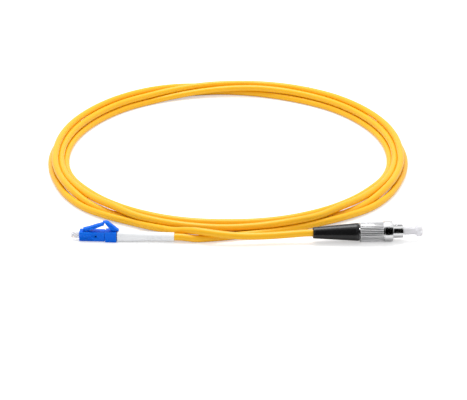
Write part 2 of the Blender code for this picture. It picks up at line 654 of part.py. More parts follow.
def fc_frame(make, plug):
    """Keyed plug frame, with its spigot in the rear body."""
    start = FC_SPIGOT_START
    frame = make.turned("fc_plug_frame", [
        (FC_FRAME_END, FC_FRAME_RADIUS - 0.3), (FC_FRAME_END - 0.3, FC_FRAME_RADIUS),
        (FC_FRAME_START, FC_FRAME_RADIUS), (FC_FRAME_START, FC_SPIGOT_RADIUS),
        (start, FC_SPIGOT_RADIUS), (start, FC_CAVITY_RADIUS), (FC_WALL_BACK, FC_CAVITY_RADIUS),
        (FC_WALL_BACK, FC_WALL_BORE), (FC_WALL_FRONT, FC_WALL_BORE),
        (FC_WALL_FRONT, FC_CAVITY_RADIUS), (FC_FRAME_END, FC_CAVITY_RADIUS)], plug, "nickel")
    half = FC_KEY_WIDTH / 2
    key = make.block("fc_key", (FC_WALL_FRONT + 1.0, -half, FC_FRAME_RADIUS - 0.5),
                     (FC_FRAME_END - 0.5, half, FC_KEY_RADIUS), plug)
    make.join(frame, key)
    pocket = FC_SPIGOT_RADIUS + SLIDE_GAP
    make.turned("fc_rear_body", [
        (FC_STEM_END, FC_STEM_RADIUS), (FC_STEM_START, FC_STEM_RADIUS),
        (FC_STEM_START, FC_NECK_RADIUS), (FC_POST_END, FC_NECK_RADIUS),
        (FC_POST_END, FC_POST_RADIUS), (FC_POST_START, FC_POST_RADIUS),
        (FC_POST_START, FIBRE_BORE / 2), (FC_SPRING_SEAT, FIBRE_BORE / 2),
        (FC_SPRING_SEAT, FC_CAVITY_RADIUS), (start - FACE_GAP, FC_CAVITY_RADIUS),
        (start - FACE_GAP, pocket), (FC_STEM_END, pocket)], plug, "nickel")


def fc_train(make, plug):
    """What lies on the FC plug's axis: cap, ferrule, flange, spring, crimp, fibre and boot."""
    radius = FC_FERRULE_DIAMETER / 2
    bore = radius + SLIDE_GAP
    blind = FC_CAP_END - FC_CAP_WALL
    cap_bore = radius + 0.2
    make.turned("fc_dust_cap", [
        (FC_CAP_END, 0.0), (FC_CAP_END, FC_CAP_FLANGE_RADIUS - 0.3),
        (FC_CAP_END - 0.3, FC_CAP_FLANGE_RADIUS), (FC_CAP_FLANGE_START, FC_CAP_FLANGE_RADIUS),
        (FC_CAP_FLANGE_START, FC_CAP_STEM_RADIUS), (FC_CAP_START, FC_CAP_STEM_RADIUS),
        (FC_CAP_START, cap_bore), (blind, cap_bore), (blind, 0.0)], plug, "cap_clear")
    start = FC_SOCKET + FACE_GAP
    make.turned("fc_ferrule", [
        (FC_FERRULE_END, 0.0), (FC_FERRULE_END, radius - 0.4), (FC_FERRULE_END - 0.4, radius),
        (start, radius), (start, 0.0)], plug, "zirconia", steps=24)
    front = FC_WALL_BACK - FACE_GAP
    make.turned("fc_ferrule_flange", [
        (front, FC_FLANGE_RADIUS), (FC_FLANGE_START, FC_FLANGE_RADIUS),
        (FC_FLANGE_START, FC_FLANGE_STEM_RADIUS), (FC_FLANGE_STEM_START, FC_FLANGE_STEM_RADIUS),
        (FC_FLANGE_STEM_START, FIBRE_BORE / 2), (FC_SOCKET, FIBRE_BORE / 2), (FC_SOCKET, bore),
        (front, bore)], plug, "nickel", steps=24)
    spring_tube(make, "fc_spring", FC_SPRING_SEAT + FACE_GAP, FC_FLANGE_START - FACE_GAP,
                FC_SPRING_RADIUS, FC_SPRING_WIRE, FC_SPRING_TURNS, plug)
    inner = FC_POST_RADIUS + FACE_GAP
    make.turned("fc_crimp_sleeve", ring_profile(*FC_CRIMP, inner, inner + FC_CRIMP_WALL),
                plug, "nickel", steps=24)
    fibre_rod(make, "fc_buffered_fibre", FC_POST_START, FC_SOCKET - FIBRE_END_GAP, plug)
    cord_bore = CORD_DIAMETER / 2 + LOOSE_GAP
    make.turned("fc_boot", [
        (FC_BOOT_END, FC_BOOT_END_RADIUS - 0.15), (FC_BOOT_END - 0.15, FC_BOOT_END_RADIUS),
        (0.15, FC_BOOT_TAIL_RADIUS), (0.0, FC_BOOT_TAIL_RADIUS - 0.15), (0.0, cord_bore),
        (FC_BOOT_CAVITY, cord_bore), (FC_BOOT_CAVITY, FC_BOOT_CAVITY_RADIUS),
        (FC_BOOT_END, FC_BOOT_CAVITY_RADIUS)], plug, "boot_black")


def put_on_base(ring):
    """Moves the whole object so that the origin is the bottom centre of the two connectors."""
    bpy.context.view_layer.update()
    graph = bpy.context.evaluated_depsgraph_get()
    corners = []
    for obj in bpy.data.objects:
        if obj.type in ("MESH", "CURVE") and not obj.hide_render and obj.name != "cord_coil":
            shape = obj.evaluated_get(graph)
            mesh = shape.to_mesh()
            corners += [shape.matrix_world @ vertex.co for vertex in mesh.vertices]
            shape.to_mesh_clear()
    table = np.array(corners)
    low = table.min(axis=0)
    high = table.max(axis=0)
    middle = (low + high) / 2
    ring.location = (-float(middle[0]), -float(middle[1]), -float(low[2]))
    bpy.context.view_layer.update()
    print("connectors:", " x ".join(f"{side * 1000:.2f}" for side in high - low), "mm")


def report_places():
    for obj in bpy.data.objects:
        if obj.type == "EMPTY":
            place = obj.matrix_world.translation * 1000
            forward = obj.matrix_world.to_3x3() @ Vector((1.0, 0.0, 0.0))
            print(f"{obj.name}: at {place.x:.3f} {place.y:.3f} {place.z:.3f} mm,"
                  f" +X {forward.x:.5f} {forward.y:.5f} {forward.z:.5f}")


def main():
    clear_scene()
    make = Builder()
    ring = make.empty("ring_middle", None)
    lc = make.empty("lc_plug", ring, (*LC_TAIL, LC_AXIS_HEIGHT), LC_TURN)
    fc = make.empty("fc_plug", ring, (*FC_TAIL, FC_AXIS_HEIGHT), FC_TURN)
    lc_shell(make, lc)
    lc_levers(make, lc)
    lc_train(make, lc)
    lc_boot(make, lc)
    fc_nut(make, fc)
    fc_frame(make, fc)
    fc_train(make, fc)
    build_cord(make, ring)
    put_on_base(ring)
    report_places()


main()
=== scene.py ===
"""Looks of a simplex fibre optic patch cord, LC plug to FC plug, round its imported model.

The plugs' own sizes are in millimetres along each plug's axis, counted from its boot's tail, and
become metres in the model's frame when a piece is finished. Where a plug lies is read from the
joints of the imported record.
"""

from __future__ import annotations

import json
import logging
import math
from dataclasses import dataclass
from enum import Enum

import bmesh
import bpy
import numpy as np
from bpy.types import Material, Mesh, Node, NodeSocket, Object
from mathutils import Matrix, Vector

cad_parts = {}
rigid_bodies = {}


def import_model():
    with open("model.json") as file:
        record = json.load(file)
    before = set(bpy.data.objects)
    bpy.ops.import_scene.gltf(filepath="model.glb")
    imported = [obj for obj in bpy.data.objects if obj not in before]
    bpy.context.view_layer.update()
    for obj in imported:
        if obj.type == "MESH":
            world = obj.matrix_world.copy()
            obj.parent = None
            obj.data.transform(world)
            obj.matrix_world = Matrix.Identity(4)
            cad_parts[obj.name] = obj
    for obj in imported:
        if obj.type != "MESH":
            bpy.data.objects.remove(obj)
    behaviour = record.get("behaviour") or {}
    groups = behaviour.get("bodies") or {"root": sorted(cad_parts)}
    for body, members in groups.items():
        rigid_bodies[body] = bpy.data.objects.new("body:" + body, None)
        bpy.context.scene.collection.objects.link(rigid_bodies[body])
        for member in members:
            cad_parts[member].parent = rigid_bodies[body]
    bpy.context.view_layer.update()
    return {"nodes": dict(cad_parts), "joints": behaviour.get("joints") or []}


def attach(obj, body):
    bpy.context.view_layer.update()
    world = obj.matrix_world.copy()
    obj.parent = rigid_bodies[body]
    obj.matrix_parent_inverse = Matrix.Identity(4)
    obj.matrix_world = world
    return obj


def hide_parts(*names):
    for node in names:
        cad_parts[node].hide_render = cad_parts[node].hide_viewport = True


LOG = logging.getLogger("patch_cord")
MM = 0.001
# Face attribute that marks the narrow rounded faces along a piece's edges.
EDGE_LAYER = "edge"
# How much rougher a rubbed place is.
WORN_ROUGHNESS = 0.3
# How far a cutter stands out of what it cuts.
PAST = 1.0

Colour = tuple[float, float, float]
Pair = tuple[float, float]
Profile = list[Pair]
# A finish's mask for its roughness, its relief, and the relief's height in metres.
Relief = tuple[NodeSocket, NodeSocket, float]


class Slot(Enum):
    """The record's material slots."""

    CORD = "cord_yellow"
    BLUE = "plug_blue"
    WHITE = "boot_white"
    BLACK = "boot_black"
    CAP = "cap_clear"
    ZIRCONIA = "zirconia"
    NICKEL = "nickel"
    SPRING = "spring_steel"
    BRASS = "brass"
    BUFFER = "fibre_buffer"
    WASHER = "fibre_washer"


class Body(Enum):
    """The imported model's moving bodies that pieces ride on."""

    SHELLS = "cord_and_shells"
    LATCH = "lc_latch_arm"
    TRIGGER = "lc_trigger_lever"
    LC_FERRULE = "lc_ferrule_set"
    LC_CAP = "lc_cap"
    FC_FERRULE = "fc_ferrule_set"
    FC_CAP = "fc_cap"
    NUT = "fc_nut"


# Finishes of the CAD nodes that stay as they are.
KEPT_NODES = {
    "lc_spring": Slot.SPRING,
    "lc_spring_push": Slot.NICKEL,
    "lc_crimp_sleeve": Slot.NICKEL,
    "lc_buffered_fibre": Slot.BUFFER,
    "lc_ferrule_flange": Slot.BRASS,
    "fc_rear_body": Slot.NICKEL,
    "fc_spring": Slot.SPRING,
    "fc_crimp_sleeve": Slot.NICKEL,
    "fc_buffered_fibre": Slot.BUFFER,
    "fc_ferrule_flange": Slot.NICKEL,
    "fc_nut_spacer": Slot.WASHER,
}


def link(name: str, data: bpy.types.ID) -> Object:
    """Adds an object for a mesh, a lamp or a camera to the scene.

    Args:
        name: the object's name.
        data: the mesh, lamp or camera.

    Returns:
        The object.
    """
    obj = bpy.data.objects.new(name, data)
    bpy.context.scene.collection.objects.link(obj)
    return obj


def baked(obj: Object, *tools: Object) -> Mesh:
    """Takes what an object's modifiers give as a plain mesh of the same name.

    Args:
        obj: the object, used up.
        *tools: objects that its modifiers name, used up.

    Returns:
        The mesh.
    """
    name = obj.name
    bpy.context.view_layer.update()
    graph = bpy.context.evaluated_depsgraph_get()
    mesh = bpy.data.meshes.new_from_object(obj.evaluated_get(graph))
    # Removing a mesh also removes the object that shows it.
    for used in (obj, *tools):
        bpy.data.meshes.remove(used.data)
    mesh.name = name
    return mesh


class Nodes:
    """A short way to add and link nodes in one tree."""

    def __init__(self, tree: bpy.types.NodeTree) -> None:
        """Keeps the tree that nodes are added to."""
        self.tree = tree

    def feed(self, target: NodeSocket, value: object) -> None:
        """Gives an input another node's output or a plain value.

        Args:
            target: the input.
            value: the socket or the plain value.
        """
        if isinstance(value, NodeSocket):
            self.tree.links.new(value, target)
        else:
            target.default_value = value

    def add(self, kind: str, values: dict[str | int, object] | None = None,
            **settings: object) -> Node:
        """Adds a node.

        Args:
            kind: the node's type name.
            values: what each named or numbered input takes: a socket or a plain value.
            **settings: attributes to set on it.

        Returns:
            The new node.
        """
        node = self.tree.nodes.new(kind)
        for name, value in settings.items():
            setattr(node, name, value)
        for name, value in (values or {}).items():
            self.feed(node.inputs[name], value)
        return node

    def math(self, operation: str, *values: object) -> NodeSocket:
        """Adds a Math node on sockets or numbers and gives its result."""
        return self.add("ShaderNodeMath", dict(enumerate(values)), operation=operation).outputs[0]

    def vector(self, **parts: object) -> NodeSocket:
        """Joins sockets or numbers for X, Y and Z into a vector."""
        return self.add("ShaderNodeCombineXYZ", parts).outputs[0]

    def blend(self, factor: NodeSocket, *colours: Colour | NodeSocket) -> NodeSocket:
        """Mixes two colours by a factor, the share of the second.

        Args:
            factor: socket of the share of the second colour.
            *colours: the two colours, or sockets of them.

        Returns:
            The mixed colour's socket.
        """
        node = self.add("ShaderNodeMix", {"Factor": factor}, data_type="RGBA")
        ends = [socket for socket in node.inputs if socket.type == "RGBA"]
        for end, colour in zip(ends, colours):
            self.feed(end, (*colour, 1.0) if isinstance(colour, tuple) else colour)
        return next(socket for socket in node.outputs if socket.type == "RGBA")


class Group(Nodes):
    """A node group with named inputs and outputs."""

    def __init__(self, name: str, kind: str, inputs: dict[str, float | int | None],
                 outputs: list[str]) -> None:
        """Makes the group and its sockets.

        Args:
            name: the group's name.
            kind: Shader or Geometry.
            inputs: default of each input. One without a default is of the kind it is named for.
            outputs: name of each output. All but Geometry are plain numbers.
        """
        super().__init__(bpy.data.node_groups.new(name, f"{kind}NodeTree"))
        face = self.tree.interface
        for label, default in inputs.items():
            value = label if default is None else type(default).__name__.title()
            socket = face.new_socket(name=label, in_out="INPUT", socket_type=f"NodeSocket{value}")
            if default is not None:
                socket.default_value = default
        for label in outputs:
            value = label if label == "Geometry" else "Float"
            face.new_socket(name=label, in_out="OUTPUT", socket_type=f"NodeSocket{value}")
        self.inputs = self.add("NodeGroupInput").outputs
        self.outputs = self.add("NodeGroupOutput").inputs


class Effects:
    """Shader groups that more than one finish places, each built once."""

    def __init__(self) -> None:
        """Builds the groups."""
        self.grain = self.moulded_grain().tree
        self.lathe = self.lathe_rings().tree
        self.wear = self.edge_wear().tree

    @staticmethod
    def moulded_grain() -> Group:
        """Broad cloudiness as one mask and fine grain as another.

        Returns:
            The group.
        """
        group = Group("moulded_grain", "Shader",
                      {"Vector": None, "Cloud Scale": 300.0, "Grain Scale": 6000.0},
                      ["Cloud", "Grain"])
        for label, detail in (("Cloud", 2.0), ("Grain", 3.0)):
            noise = group.add("ShaderNodeTexNoise", {
                "Vector": group.inputs["Vector"], "Scale": group.inputs[f"{label} Scale"],
                "Detail": detail})
            group.feed(group.outputs[label], noise.outputs[0])
        return group

    @staticmethod
    def lathe_rings() -> Group:
        """Fine rings round the axis, from a map whose V runs along it.

        Returns:
            The group.
        """
        group = Group("lathe_rings", "Shader", {"Vector": None, "Ring Scale": 3000.0}, ["Rings"])
        parts = group.add("ShaderNodeSeparateXYZ", {0: group.inputs["Vector"]})
        along = group.math("MULTIPLY", parts.outputs["Y"], group.inputs["Ring Scale"])
        noise = group.add("ShaderNodeTexNoise", {"W": along, "Scale": 1.0, "Detail": 2.0},
                          noise_dimensions="1D")
        group.feed(group.outputs["Rings"], noise.outputs[0])
        return group

    @staticmethod
    def edge_wear() -> Group:
        """Edges rubbed in patches, and a few faint scuffs everywhere.

        Returns:
            The group.
        """
        group = Group("edge_wear", "Shader",
                      {"Vector": None, "Edge": 0.0, "Patch Scale": 900.0, "Amount": 0.5}, ["Wear"])
        noise = group.add("ShaderNodeTexNoise", {
            "Vector": group.inputs["Vector"], "Scale": group.inputs["Patch Scale"], "Detail": 3.0})
        rubbed, scuffed = [
            group.add("ShaderNodeMapRange", {"Value": noise.outputs[0], "From Min": low,
                                             "From Max": high, "To Max": most},
                      interpolation_type="SMOOTHSTEP").outputs[0]
            for low, high, most in ((0.35, 0.6, 1.0), (0.62, 0.75, 0.3))]
        edges = group.math("MULTIPLY", rubbed, group.inputs["Edge"])
        worn = group.math("MAXIMUM", edges, scuffed)
        group.feed(group.outputs["Wear"], group.math("MULTIPLY", worn, group.inputs["Amount"]))
        return group


@dataclass(frozen=True)
class Surface:
    """What a relief is made from: a tree, its sockets of the map and the grain, the groups."""

    tree: Nodes
    chart: NodeSocket
    grain: NodeSocket
    effects: Effects


@dataclass(frozen=True)
class Finish:
    """A plain moulded finish, and the base of the others.

    Attributes:
        name: the material's name.
        colour: linear base colour.
        shade: colour that the cloudiness moves towards.
        roughness: least and greatest roughness.
        metallic: 1 for a metal.
        cloud_scale: broad variation, in features a metre.
        grain_scale: fine grain, in features a metre.
        grain_height: height of the grain, in metres.
        specular: the shader's specular level.
        coat: weight of a clear outer layer.
        clearness: the shader's transmission weight.
        bending: its index of refraction.
        wear: share of the worn colour on rubbed edges.
        worn: that colour.
    """

    name: str
    colour: Colour
    shade: Colour
    roughness: Pair = (0.3, 0.4)
    metallic: float = 0.0
    cloud_scale: float = 250.0
    grain_scale: float = 5000.0
    grain_height: float = 0.000004
    specular: float = 0.5
    coat: float = 0.0
    clearness: float = 0.0
    bending: float = 1.5
    wear: float = 0.25
    worn: Colour = (0.8, 0.8, 0.8)

    def build(self, effects: Effects) -> Material:
        """Builds the material.

        Args:
            effects: the shared node groups.

        Returns:
            The material.
        """
        material = bpy.data.materials.new(self.name)
        material.use_nodes = True
        tree = Nodes(material.node_tree)
        place = tree.add("ShaderNodeTexCoord").outputs
        grain = tree.add("ShaderNodeGroup", {
            "Vector": place["Object"], "Cloud Scale": self.cloud_scale,
            "Grain Scale": self.grain_scale}, node_tree=effects.grain).outputs
        edge = tree.add("ShaderNodeAttribute", attribute_name=EDGE_LAYER)
        wear = tree.add("ShaderNodeGroup", {
            "Vector": place["Object"], "Edge": edge.outputs["Fac"],
            "Amount": self.wear}, node_tree=effects.wear).outputs["Wear"]
        mask, height, distance = self.relief(
            Surface(tree, place["UV"], grain["Grain"], effects))
        least, most = self.roughness
        rough = tree.math("MULTIPLY_ADD", mask, most - least, least)
        colour = tree.blend(grain["Cloud"], self.colour, self.shade)
        bump = tree.add("ShaderNodeBump", {"Height": height, "Distance": distance,
                                           "Strength": 1.0})
        shader = material.node_tree.nodes["Principled BSDF"]
        for name, value in {
                "Base Color": tree.blend(wear, colour, self.worn),
                "Roughness": tree.math("MULTIPLY_ADD", wear, WORN_ROUGHNESS, rough),
                "Normal": bump.outputs["Normal"],
                "Metallic": self.metallic,
                "Specular IOR Level": self.specular,
                "Coat Weight": self.coat,
                "Transmission Weight": self.clearness,
                "IOR": self.bending}.items():
            tree.feed(shader.inputs[name], value)
        return material

    def relief(self, surface: Surface) -> Relief:
        """Gives the finish's relief, here the grain."""
        return surface.grain, surface.grain, self.grain_height


@dataclass(frozen=True)
class JacketFinish(Finish):
    """Extruded cord jacket with faint draw lines along it.

    Attributes:
        line_count: draw lines round the jacket.
        line_breaks: changes of a line in a metre.
        line_height: their height, in metres.
    """

    line_count: float = 26.0
    line_breaks: float = 40.0
    line_height: float = 0.000012

    def relief(self, surface: Surface) -> Relief:
        """Gives draw lines with grain on them, from a map whose V runs along the cord.

        Args:
            surface: what the relief is made from.

        Returns:
            The relief.
        """
        tree = surface.tree
        parts = tree.add("ShaderNodeSeparateXYZ", {0: surface.chart}).outputs
        stretched = tree.vector(X=tree.math("MULTIPLY", parts["X"], self.line_count),
                                Y=tree.math("MULTIPLY", parts["Y"], self.line_breaks))
        lines = tree.add("ShaderNodeTexNoise", {"Vector": stretched, "Scale": 1.0, "Detail": 1.0})
        share = tree.math("MULTIPLY", surface.grain, self.grain_height / self.line_height)
        return surface.grain, tree.math("ADD", lines.outputs[0], share), self.line_height


@dataclass(frozen=True)
class TurnedFinish(Finish):
    """Plated metal turned on a lathe: fine rings in its relief and its roughness.

    Attributes:
        ring_scale: rings a metre along the axis.
        ring_height: their height, in metres.
    """

    ring_scale: float = 9000.0
    ring_height: float = 0.0000015

    def relief(self, surface: Surface) -> Relief:
        """Gives rings, from a map whose V runs along the axis.

        Args:
            surface: what the relief is made from.

        Returns:
            The relief.
        """
        rings = surface.tree.add("ShaderNodeGroup", {
            "Vector": surface.chart, "Ring Scale": self.ring_scale},
            node_tree=surface.effects.lathe).outputs["Rings"]
        return rings, rings, self.ring_height


FINISHES: dict[Slot, Finish] = {
    Slot.CORD: JacketFinish("jacket_yellow", (0.97, 0.52, 0.008), (0.95, 0.47, 0.006),
                            roughness=(0.3, 0.38), cloud_scale=90.0, grain_scale=9000.0,
                            grain_height=0.000003, specular=0.42, wear=0.2,
                            worn=(0.95, 0.6, 0.05)),
    Slot.BLUE: Finish("housing_blue", (0.001, 0.155, 0.84), (0.001, 0.125, 0.75),
                      roughness=(0.26, 0.36), cloud_scale=300.0, specular=0.12, wear=0.3,
                      worn=(0.05, 0.35, 1.0)),
    Slot.WHITE: Finish("boot_white_rubber", (0.9, 0.91, 0.92), (0.86, 0.87, 0.89),
                       roughness=(0.42, 0.55), grain_scale=7000.0, grain_height=0.000006,
                       worn=(0.7, 0.72, 0.75)),
    Slot.BLACK: Finish("boot_black_rubber", (0.006, 0.006, 0.0065), (0.011, 0.011, 0.012),
                       roughness=(0.2, 0.28), grain_scale=6000.0, specular=0.36, wear=0.2,
                       worn=(0.08, 0.08, 0.085)),
    Slot.CAP: Finish("cap_clear_plastic", (0.985, 0.98, 1.0), (0.97, 0.965, 0.995),
                     clearness=0.5, bending=1.4, worn=(0.9, 0.9, 0.93)),
    Slot.ZIRCONIA: Finish("ferrule_ceramic", (0.9, 0.89, 0.85), (0.86, 0.85, 0.81),
                          roughness=(0.1, 0.16), grain_height=0.000001, coat=0.3),
    Slot.NICKEL: TurnedFinish("nickel_plate", (0.82, 0.82, 0.83), (0.76, 0.76, 0.77),
                              roughness=(0.1, 0.2), metallic=1.0),
    Slot.SPRING: Finish("spring_wire", (0.5, 0.5, 0.52), (0.42, 0.42, 0.44),
                        roughness=(0.25, 0.4), metallic=1.0),
    Slot.BRASS: Finish("flange_brass", (0.75, 0.55, 0.24), (0.66, 0.46, 0.18),
                       roughness=(0.2, 0.35), metallic=1.0),
    Slot.BUFFER: Finish("fibre_buffer_white", (0.85, 0.84, 0.78), (0.8, 0.79, 0.72),
                        roughness=(0.4, 0.5)),
    Slot.WASHER: Finish("washer_fibre", (0.06, 0.06, 0.065), (0.09, 0.088, 0.085),
                        roughness=(0.6, 0.8), grain_scale=3000.0, grain_height=0.00002),
}
# The knurl's ridges scatter light more than the turned faces beside them.
KNURL_FINISH = TurnedFinish("nickel_knurl", (0.9, 0.9, 0.91), (0.84, 0.84, 0.85),
                            roughness=(0.58, 0.68), metallic=1.0)


class Palette:
    """The built materials, one for each slot, and the knurl's own."""

    def __init__(self) -> None:
        """Builds every finish."""
        effects = Effects()
        self.materials = {slot: finish.build(effects) for slot, finish in FINISHES.items()}
        self.knurl = KNURL_FINISH.build(effects)

    def paint(self, obj: Object, slot: Slot) -> None:
        """Gives an object one finish.

        Args:
            obj: the object.
            slot: its finish.
        """
        obj.data.materials.clear()
        obj.data.materials.append(self.materials[slot])


def arc_corners(outline: Profile, radii: dict[int, float] | float, steps: int = 4,
                most: float = 0.45) -> Profile:
    """Rounds the corners of a closed outline.

    Args:
        outline: points in order.
        radii: one radius for all corners, or the radius of each numbered corner.
        steps: straights in each arc.
        most: greatest share of a side that an arc takes.

    Returns:
        The outline with arcs in place of its corners.
    """
    found: Profile = []
    for i, corner in enumerate(outline):
        radius = radii.get(i, 0.0) if isinstance(radii, dict) else radii
        if radius <= 0.0:
            found.append(corner)
            continue
        here = Vector(corner)
        back = Vector(outline[i - 1]) - here
        ahead = Vector(outline[(i + 1) % len(outline)]) - here
        half = back.angle(ahead) / 2
        reach = min(radius / math.tan(half), most * back.length, most * ahead.length)
        start = here + back.normalized() * reach
        end = here + ahead.normalized() * reach
        for step in range(steps + 1):
            t = step / steps
            bent = start.lerp(here, t).lerp(here.lerp(end, t), t)
            found.append((bent.x, bent.y))
    return found


def smooth_mesh(name: str, shape: bmesh.types.BMesh, sharp: float, flat: tuple = ()) -> Mesh:
    """Makes a smooth-shaded mesh of a shape.

    Args:
        name: the mesh's name.
        shape: the shape, used up.
        sharp: edges that turn further are kept sharp, in degrees.
        flat: faces shaded flat.

    Returns:
        The mesh.
    """
    for face in shape.faces:
        face.smooth = face not in flat
    mesh = bpy.data.meshes.new(name)
    shape.to_mesh(mesh)
    shape.free()
    mesh.set_sharp_from_angle(angle=math.radians(sharp))
    return mesh


def run_of(points: np.ndarray) -> np.ndarray:
    """Distance along a line at each of its points."""
    return np.concatenate([[0.0], np.cumsum(np.linalg.norm(np.diff(points, axis=0), axis=1))])


def share_of(t: float, low: float, high: float, first: np.ndarray, last: np.ndarray
             ) -> np.ndarray:
    """Point between two, as t lies between low and high."""
    return (high - t) / (high - low) * first + (t - low) / (high - low) * last


def ring_surface(name: str, rings: np.ndarray, *, caps: bool = False, looped: bool = False,
                 along: np.ndarray | None = None) -> Mesh:
    """Surface through rows of points, with a map whose U runs round and V along the rows.

    Args:
        name: the mesh's name.
        rings: points as (row, point in the ring, xyz).
        caps: close the first and the last ring with a face.
        looped: join the last ring back to the first.
        along: V of each row, or None to count it along the rows' first points.

    Returns:
        The mesh, its normals pointing out.
    """
    rows, count, _ = rings.shape
    shape = bmesh.new()
    verts = [[shape.verts.new(point) for point in ring] for ring in rings]
    chart = shape.loops.layers.uv.new("UVMap")
    if along is None:
        along = run_of(rings[:, 0])
    closing = float(np.linalg.norm(rings[-1, 0] - rings[0, 0]))
    for row in range(rows if looped else rows - 1):
        after = (row + 1) % rows
        low = float(along[row])
        high = float(along[after]) if after else low + closing
        for i in range(count):
            j = (i + 1) % count
            face = shape.faces.new((verts[row][i], verts[row][j], verts[after][j],
                                    verts[after][i]))
            corners = ((i, low), (i + 1, low), (i + 1, high), (i, high))
            for loop, (place, height) in zip(face.loops, corners):
                loop[chart].uv = (place / count, height)
    ends = tuple(shape.faces.new(verts[row]) for row in (0, -1)) if caps else ()
    bmesh.ops.recalc_face_normals(shape, faces=shape.faces[:])
    return smooth_mesh(name, shape, 40, ends)


def turned_mesh(name: str, profile: Profile, steps: int = 96, caps: bool = False) -> Mesh:
    """Turns a profile round the plug's axis, with V of its map in metres.

    Args:
        name: the mesh's name.
        profile: (along, radius) points. Closed, unless caps is set.
        steps: faces round the axis.
        caps: close both ends with a face across the axis.

    Returns:
        The mesh, in millimetres.
    """
    angles = np.linspace(0.0, 2 * math.pi, steps, endpoint=False)
    table = np.array(profile)
    rings = np.empty((len(table), steps, 3))
    rings[:, :, 0] = table[:, :1]
    rings[:, :, 1] = table[:, 1:] * np.cos(angles)
    rings[:, :, 2] = table[:, 1:] * np.sin(angles)
    return ring_surface(name, rings, caps=caps, looped=not caps, along=run_of(table) * MM)


def prism_mesh(name: str, outline: Profile, width: float, bevel: float) -> Mesh:
    """Spreads an outline of (along, up) points across the plug.

    Args:
        name: the mesh's name.
        outline: points of the side view.
        width: size across the plug.
        bevel: rounding of the two side faces' edges.

    Returns:
        The mesh, in millimetres.
    """
    shape = bmesh.new()
    near = [shape.verts.new((x, -width / 2, z)) for x, z in outline]
    far = [shape.verts.new((x, width / 2, z)) for x, z in outline]
    sides = [shape.faces.new(near), shape.faces.new(far)]
    for i in range(len(outline)):
        j = (i + 1) % len(outline)
        shape.faces.new((near[i], near[j], far[j], far[i]))
    bmesh.ops.recalc_face_normals(shape, faces=shape.faces[:])
    edges = [edge for side in sides for edge in side.edges]
    bmesh.ops.bevel(shape, geom=edges, offset=bevel, segments=2, affect="EDGES", profile=0.5,
                    clamp_overlap=True)
    return smooth_mesh(name, shape, 35)


def block_mesh(name: str, low: tuple[float, ...], high: tuple[float, ...],
               bevel: float = 0.0) -> Mesh:
    """A block between two corners, its edges rounded where a bevel is given.

    Args:
        name: the mesh's name.
        low: lowest corner.
        high: highest corner.
        bevel: rounding of its edges.

    Returns:
        The mesh, in millimetres.
    """
    shape = bmesh.new()
    bmesh.ops.create_cube(shape, size=1.0)
    bmesh.ops.scale(shape, vec=[b - a for a, b in zip(low, high)], verts=shape.verts)
    bmesh.ops.translate(shape, vec=[(a + b) / 2 for a, b in zip(low, high)], verts=shape.verts)
    if bevel:
        bmesh.ops.bevel(shape, geom=shape.edges[:], offset=bevel, segments=3, affect="EDGES",
                        profile=0.5)
    return smooth_mesh(name, shape, 30)


def square_block(name: str, start: float, end: float, side: float, bevel: float = 0.0) -> Mesh:
    """A block on the plug's axis, as wide as it is high.

    Args:
        name: the mesh's name.
        start: its back face.
        end: its front face.
        side: size across and up.
        bevel: rounding of its edges.

    Returns:
        The mesh, in millimetres.
    """
    half = side / 2
    return block_mesh(name, (start, -half, -half), (end, half, half), bevel)


def superellipse(half: float, power: float, count: int) -> np.ndarray:
    """Outline between a circle and a round-cornered square.

    Args:
        half: half the size across.
        power: 2 for a circle, more for a squarer shape.
        count: points.

    Returns:
        (across, up) points.
    """
    angle = 2 * np.pi * (np.arange(count) + 0.5) / count
    sides = np.stack([np.cos(angle), np.sin(angle)], axis=1)
    return half * (np.sign(sides) * np.abs(sides) ** (2 / power))


def cut(mesh: Mesh, *cutters: Mesh) -> Mesh:
    """Cuts closed meshes out of a mesh.

    Args:
        mesh: what is cut, used up.
        *cutters: closed meshes, used up.

    Returns:
        What is left, under the first mesh's name.
    """
    obj = link(mesh.name, mesh)
    tools = [link(cutter.name, cutter) for cutter in cutters]
    for tool in tools:
        modifier = obj.modifiers.new(tool.name, "BOOLEAN")
        modifier.operation = "DIFFERENCE"
        modifier.solver = "EXACT"
        modifier.object = tool
    return baked(obj, *tools)


